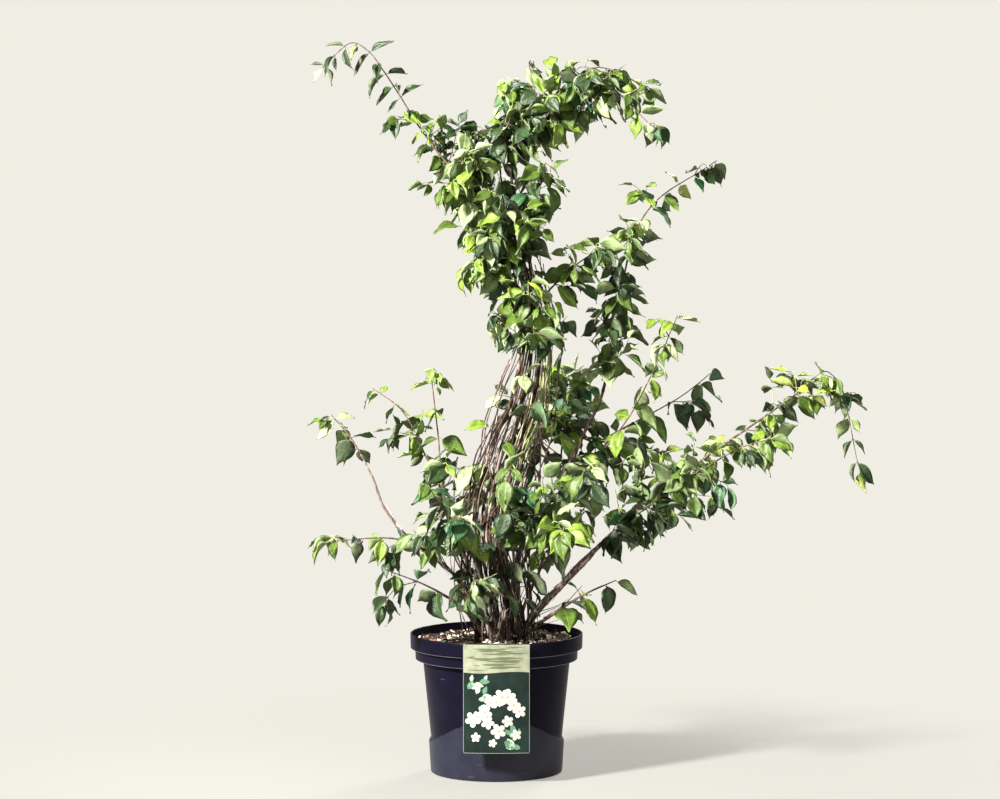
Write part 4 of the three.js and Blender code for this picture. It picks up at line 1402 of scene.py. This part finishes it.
def makeScuffs():
    rng, pick = luckOf(scuff)
    pile = newPile()
    steps, blunt = scuff["steps"], scuff["blunt"]
    for _ in range(scuff["count"]):
        low = rng.random() < scuff["lowShare"]
        z = pick("lowHeights" if low else "highHeights")
        radius = (bandRadius(z) if low else wallRadius(z)) + scuff["proud"]
        start = rng.uniform(0, 2 * math.pi)
        length = pick("length") / radius
        tilt = pick("lowTilt" if low else "highTilt")
        wide = pick("width")
        points = []
        for k in range(steps + 1):
            half = wide / 2 * math.sin(math.pi * (k + blunt) / (steps + 2 * blunt))
            height = z + tilt * length * k / steps
            points += [roundAt(radius, start + length * k / steps, height + side) for side in (-half, half)]
        heap(pile, points, [(2 * k, 2 * k + 2, 2 * k + 3, 2 * k + 1) for k in range(steps)])
    makePiece("potScuffs", pile, [scuffPlastic])


makePot()
makeScuffs()
print("pot: wall, lip, foot band and", scuff["count"], "scuffs")


# compost: rough dark surface with loose chips

compost = {
    "radius": 134.6,
    "rings": 46,
    "around": 150,
    "firstRing": 0.6,  # the radius of the innermost, in steps
    "closer": 0.8,  # how the rings draw together towards the wall
    "fall": 2.5,
    "mound": (3.5, 46),  # height and reach
    "roughness": 2.6,
    "waves": ((0.05, 0.42), (0.08, 0.34), (0.16, 0.2), (0.3, 0.15), (0.55, 0.1)),  # pitch and share
    "grit": 0.5,
    "tuck": 4,  # how far the last ring goes down beside the wall
    "crumb": (0.95, 700, 0.6, 0.2, 0.0012),
    "seed": 77,
}

soilColours = {
    "darkCompost": (0.022, 0.013, 0.010),
    "brownChip": (0.125, 0.075, 0.052),
    "creamChip": (0.72, 0.62, 0.54),
    "redChip": (0.20, 0.095, 0.065),
    "mossGreen": (0.20, 0.22, 0.07),
}
chipCorners = [(a, b, c) for c in (-1, 1) for a, b in ((-1, -1), (1, -1), (1, 1), (-1, 1))]
chipFaces = [(3, 2, 1, 0), (4, 5, 6, 7), (0, 1, 5, 4), (1, 2, 6, 5), (2, 3, 7, 6), (3, 0, 4, 7)]


def soilHeight(x, y, waves):
    flat = np.hypot(x, y)
    mound, wide = compost["mound"]
    height = soilTop - compost["fall"] * (flat / compost["radius"]) ** 2
    height = height + mound * np.exp(-((flat / wide) ** 2))
    for kx, ky, phase, size in waves:
        height = height + size * np.sin(kx * x + ky * y + phase)
    return float(height)


def makeSoil(rng, waves):
    rings, around, first = compost["rings"], compost["around"], compost["firstRing"]
    points = []
    for k in range(rings):
        radius = compost["radius"] * ((k + first) / (rings - 1 + first)) ** compost["closer"]
        tuck = compost["tuck"] if k == rings - 1 else 0
        for j in range(around):
            x, y, _ = roundAt(radius, 2 * math.pi * j / around, 0)
            points.append((x, y, soilHeight(x, y, waves) + rng.normal(0, compost["grit"]) - tuck))
    faces = [tuple(range(around)), *((a, d, c, b) for a, b, c, d in ringFaces(rings, around))]
    pile = newPile()
    heap(pile, points, faces)
    crumb = plainMaterial("soilCrumb", soilColours["darkCompost"], *compost["crumb"])
    makePiece("compost", pile, [crumb], ["soil"])


chip = {
    "count": 1500,
    "length": (2.5, 13),
    "mostlySmall": 2.2,
    "wide": (0.25, 0.7),  # by its length
    "thick": (0.12, 0.35),
    "chopped": (0.55, 1.15),  # how far each corner strays from the box
    "lean": 0.35,
    "seat": 0.7,
    "clear": 3,  # what stays free beside the wall
    "shares": (0.31, 0.27, 0.28, 0.08, 0.06),
    "look": (0.9, 260, 0.35, 0.2, 0.0006),
}


def makeChips(rng, waves):
    pile = newPile()
    short, long = chip["length"]
    for _ in range(chip["count"]):
        radius = (compost["radius"] - chip["clear"]) * rng.uniform(0, 1) ** 0.5
        x, y, _ = roundAt(radius, rng.uniform(0, 2 * math.pi), 0)
        length = rng.uniform(0, 1) ** chip["mostlySmall"] * (long - short) + short
        wide, thick = (length * rng.uniform(*chip[word]) for word in ("wide", "thick"))
        size = np.array([length, wide, thick]) / 2
        box = np.array(chipCorners, dtype=float) * size * rng.uniform(*chip["chopped"], (8, 3))
        turn = Matrix.Rotation(rng.uniform(*anyPhase), 3, "Z")
        for axis in ("X", "Y"):
            turn = turn @ Matrix.Rotation(rng.normal(0, chip["lean"]), 3, axis)
        place = np.array([x, y, soilHeight(x, y, waves) + size[2] * chip["seat"]])
        corners = box @ np.array(turn).T + place
        if np.any(np.hypot(corners[:, 0], corners[:, 1]) > compost["radius"]):
            continue
        heap(pile, corners, chipFaces, int(rng.choice(len(soilColours), p=chip["shares"])))
    mats = [plainMaterial(name, colour, *chip["look"]) for name, colour in soilColours.items()]
    makePiece("soilChips", pile, mats, smooth=False)


def makeCompost():
    rng = np.random.default_rng(compost["seed"])
    waves = []
    for pitch, share in (wave for wave in compost["waves"] for _ in range(2)):
        kx, ky, phase = rng.normal(0, pitch), rng.normal(0, pitch), rng.uniform(*anyPhase)
        waves.append((kx, ky, phase, compost["roughness"] * share))
    makeSoil(rng, waves)
    makeChips(rng, waves)


makeCompost()
print("compost: surface and loose chips")


# picture card: a bowed plate with a hook, and a plain printed design of blossoms and leaves

card = {
    "width": 107, "height": 176, "thickness": 0.9, "bowRadius": 310, "clearOfRim": 0.5,
    "hookWidth": 24, "hookRoom": 3.6, "hookDrop": 9,
    "corner": 3,
    "columns": 29,
    "print": 0.1,  # the print's thickness
}

inks = {
    # colour, roughness, scale and depth of its mottle
    "cardGreen": ((0.0085, 0.0185, 0.0150), 0.34, 40, 0.35, 0.3),
    "headerGreen": ((0.265, 0.280, 0.190), 0.36, 50, 0.3),
    "streakGreen": ((0.105, 0.130, 0.070), 0.36, 50, 0.2),
    "petalWhite": ((0.66, 0.64, 0.58), 0.36, 90, 0.06),
    "petalPink": ((0.60, 0.47, 0.41), 0.36, 90, 0.1),
    "throatAmber": ((0.45, 0.30, 0.13), 0.4, 90, 0.1),
    "printLeaf": ((0.10, 0.21, 0.13), 0.36, 60, 0.2),
    "printPale": ((0.36, 0.52, 0.36), 0.36, 60, 0.15),
    "edgePale": ((0.25, 0.29, 0.25), 0.36, 60, 0.05),
    "petalCream": ((0.47, 0.45, 0.40), 0.36, 90, 0.06),
}
cardInks = [plainMaterial(name, *look) for name, look in inks.items()]
inkNumber = {name: k for k, name in enumerate(inks)}

cardFront = -(potSize["rimRadius"] + card["clearOfRim"])
cardTop = potSize["height"] + gap + card["thickness"]
cardLow = cardTop - card["height"]
cardHalf = card["width"] / 2


def onCard(x, up, rise):
    reach = card["bowRadius"] + card["thickness"]
    angle = x / reach
    middle = cardFront + card["bowRadius"]
    return (reach + rise) * math.sin(angle), middle - (reach + rise) * math.cos(angle), up


def printShape(pile, outline, rise, ink):
    count = len(outline)
    points = [onCard(x, up, rise) for x, up in [*outline, np.mean(outline, axis=0)]]
    heap(pile, points, [(k, (k + 1) % count, count) for k in range(count)], inkNumber[ink])


# a band follows the card's bow from place to place
def printBand(pile, xs, lows, highs, rise, ink):
    points = [onCard(x, up, rise) for x, low, high in zip(xs, lows, highs) for up in (low, high)]
    faces = [(2 * k, 2 * k + 2, 2 * k + 3, 2 * k + 1) for k in range(len(xs) - 1)]
    heap(pile, points, faces, inkNumber[ink])


# an outline given along and across a line, turned and set in its place
def setOut(centre, angle, marks):
    cos, sin = math.cos(angle), math.sin(angle)
    return [(centre[0] + along * cos - across * sin, centre[1] + along * sin + across * cos)
            for along, across in marks]


def petalOutline(centre, angle, length, width, steps=12, slender=0.55):
    marks = []
    for k in range(steps):
        t = k / steps * 2 * math.pi
        along = length * (0.5 - 0.5 * math.cos(t))
        marks.append((along, width / 2 * math.sin(t) * (slender + (1 - slender) * along / length)))
    return setOut(centre, angle, marks)


def leafOutline(centre, angle, length, width, steps=14, roundness=0.8):
    marks = []
    for k in range(steps):
        t = k / steps * 2
        along, side = (t, 1) if t <= 1 else (2 - t, -1)
        marks.append((length * along, side * width / 2 * math.sin(math.pi * along**roundness)))
    return setOut(centre, angle, marks)


def makePlate():
    pile = newPile()
    r = card["corner"]
    points, faces = [], []
    for layer in (0.0, -card["thickness"]):
        for x in np.linspace(-cardHalf, cardHalf, card["columns"]):
            inset = max(abs(x) - (cardHalf - r), 0)
            trim = r - math.sqrt(max(r * r - inset * inset, 0))
            points += [onCard(x, cardLow + trim, layer), onCard(x, cardTop - trim, layer)]
    count = 2 * card["columns"]
    for a in range(0, count - 2, 2):
        faces += [(a, a + 2, a + 3, a + 1), (count + a, count + a + 1, count + a + 3, count + a + 2)]
        faces += [(a, count + a, count + a + 2, a + 2), (a + 1, a + 3, count + a + 3, count + a + 1)]
    faces += [(0, 1, count + 1, count), (count - 2, 2 * count - 2, 2 * count - 1, count - 1)]
    heap(pile, points, faces, inkNumber["cardGreen"])
    # the hook over the rim
    back = -(potSize["rimRadius"] - potSize["wall"] - card["hookRoom"])
    front = cardFront - card["thickness"] / 2
    under = cardTop - card["thickness"]
    leg = back - card["thickness"]
    foot = cardTop - card["hookDrop"]
    path = [(front, under), (front, cardTop), (back, cardTop), (back, foot), (leg, foot), (leg, under)]
    points = [(side * card["hookWidth"] / 2, y, z) for side in (-1, 1) for y, z in path]
    faces = [tuple(range(5, -1, -1)), tuple(range(6, 12))]
    faces += [(k, (k + 1) % 6, 6 + (k + 1) % 6, 6 + k) for k in range(6)]
    heap(pile, points, faces, inkNumber["headerGreen"])
    makePiece("card_plate", pile, [cardInks[inkNumber[name]] for name in ("cardGreen", "headerGreen")],
              ["card"], smooth=False)


header = {
    "height": 46,  # of the pale band at the top
    "side": 0.8,
    "top": 1.2,
    "wave": (1.4, 17),  # height and length
    "columns": 27,
    "streaks": 34,
    "streakLength": (12, 60),
    "streakWidth": (0.5, 1.7),
    "streakSlope": (-2, 2),
    "streakMarks": 9,
    "streakRise": 2,  # in thicknesses of print
    "clear": (2, 4),  # what stays free beside the streaks, and above and below them
    "seed": 5,
}

edgeLine = {
    "low": (0.5, 1.1),  # from the lower edge
    "side": (1.1, 0.5),  # from the sides
    "corner": 2.4,
    "rise": 1.6,  # in thicknesses of print
}


def printHeader(pile):
    rng, pick = luckOf(header)
    edge = cardTop - header["height"]
    xs = np.linspace(-cardHalf + header["side"], cardHalf - header["side"], header["columns"])
    flat = xs * 0
    tall, long = header["wave"]
    thick = card["print"]
    lows, highs = edge + tall * np.sin(xs / long), flat + cardTop - header["top"]
    printBand(pile, xs, lows, highs, thick, "headerGreen")
    low, high = edgeLine["low"]
    printBand(pile, xs, flat + cardLow + low, flat + cardLow + high, thick, "edgePale")
    for side in (-1, 1):
        ends = [side * (cardHalf - inset) for inset in edgeLine["side"]]
        lows, highs = [cardLow + edgeLine["corner"]] * 2, [cardTop - edgeLine["corner"]] * 2
        printBand(pile, ends, lows, highs, thick * edgeLine["rise"], "edgePale")
    aside, above = header["clear"]
    share = np.linspace(0, 1, header["streakMarks"])
    for _ in range(header["streaks"]):
        long = pick("streakLength")
        x = rng.uniform(-cardHalf + aside, cardHalf - aside - long)
        up = rng.uniform(edge + above, cardTop - above)
        wide = pick("streakWidth") * np.sin(np.pi * share)
        slope = up + pick("streakSlope") * share
        rise = thick * header["streakRise"]
        printBand(pile, x + long * share, slope - wide, slope + wide, rise, "streakGreen")


spray = {
    "count": 26,  # leaves, in turn at the upper left and the lower right
    "leftAcross": (8, 40),
    "leftUp": (70, 118),
    "leftWay": 0.5,
    "rightAcross": (10, 36),
    "rightUp": (6, 34),
    "rightWay": 2.4,
    "spread": (-0.9, 0.9),
    "size": (9, 17),
    "width": 0.55,
    "clear": 1.5,
    "darkShare": 0.6,
    "seed": 6,
}


def printLeaves(pile):
    rng, pick = luckOf(spray)
    for k in range(spray["count"]):
        word = "right" if k % 2 else "left"
        across = pick(word + "Across")
        x = cardHalf - across if k % 2 else -cardHalf + across
        up = cardLow + pick(word + "Up")
        angle = pick("spread") + spray[word + "Way"]
        size = pick("size")
        if abs(x + size * math.cos(angle)) > cardHalf - spray["clear"]:
            angle = math.pi - angle
        ink = "printLeaf" if rng.random() < spray["darkShare"] else "printPale"
        printShape(pile, leafOutline((x, up), angle, size, size * spray["width"]), card["print"], ink)


blossom = {
    "petals": 5,
    "arch": 9,  # blossoms in the loose arch from the lower left to the right edge
    "archFrom": 16,
    "archShort": 33,
    "archUp": (40, 50),  # its foot and its height
    "archSpan": (0.08, 0.66),
    "stray": (-9, 9),
    "size": (8.6, 13.4),
    "tilt": (0, 1.2),
    # across, up from the lower edge, size
    "loose": ((-14, 50, 11), (3, 36, 12.5), (18, 52, 9.5), (31, 30, 9), (-33, 26, 8), (-6, 17, 7)),
    "width": 0.86,
    "blush": (0.62, 0.4),
    "throat": 0.34,
    "rise": (2, 4.4, 7),  # petals, blush and throat, in thicknesses of print
    "riseStep": 0.4,
    "seed": 7,
}


def blossomPlaces():
    _, pick = luckOf(blossom)
    places = []
    foot, rise = blossom["archUp"]
    start, span = blossom["archSpan"]
    for k in range(blossom["arch"]):
        share = k / (blossom["arch"] - 1)
        x = -cardHalf + blossom["archFrom"] + share * (2 * cardHalf - blossom["archShort"])
        up = cardLow + foot + rise * math.sin(math.pi * (start + span * share)) + pick("stray")
        places.append((x, up, pick("size"), pick("tilt")))
    places += [(x, cardLow + up, size, pick("tilt")) for x, up, size in blossom["loose"]]
    return places


def printBlossoms(pile):
    petalRise, blushRise, throatRise = blossom["rise"]
    blushLength, blushWidth = blossom["blush"]
    thick = card["print"]
    for x, up, size, tilt in blossomPlaces():
        for k in range(blossom["petals"]):
            angle = tilt + k * 2 * math.pi / blossom["petals"]
            lift = blossom["riseStep"] * k
            petal = petalOutline((x, up), angle, size, size * blossom["width"])
            printShape(pile, petal, thick * (petalRise + lift), "petalWhite" if k % 2 else "petalCream")
            blush = petalOutline((x, up), angle, size * blushLength, size * blushWidth)
            printShape(pile, blush, thick * (blushRise + lift), "petalPink")
        wide = size * blossom["throat"]
        printShape(pile, petalOutline((x - wide / 2, up), 0, wide, wide), thick * throatRise, "throatAmber")


def makeCard():
    makePlate()
    pile = newPile()
    printHeader(pile)
    printLeaves(pile)
    printBlossoms(pile)
    makePiece("card_print", pile, cardInks, smooth=False)


makeCard()
print("card: plate, hook and print")
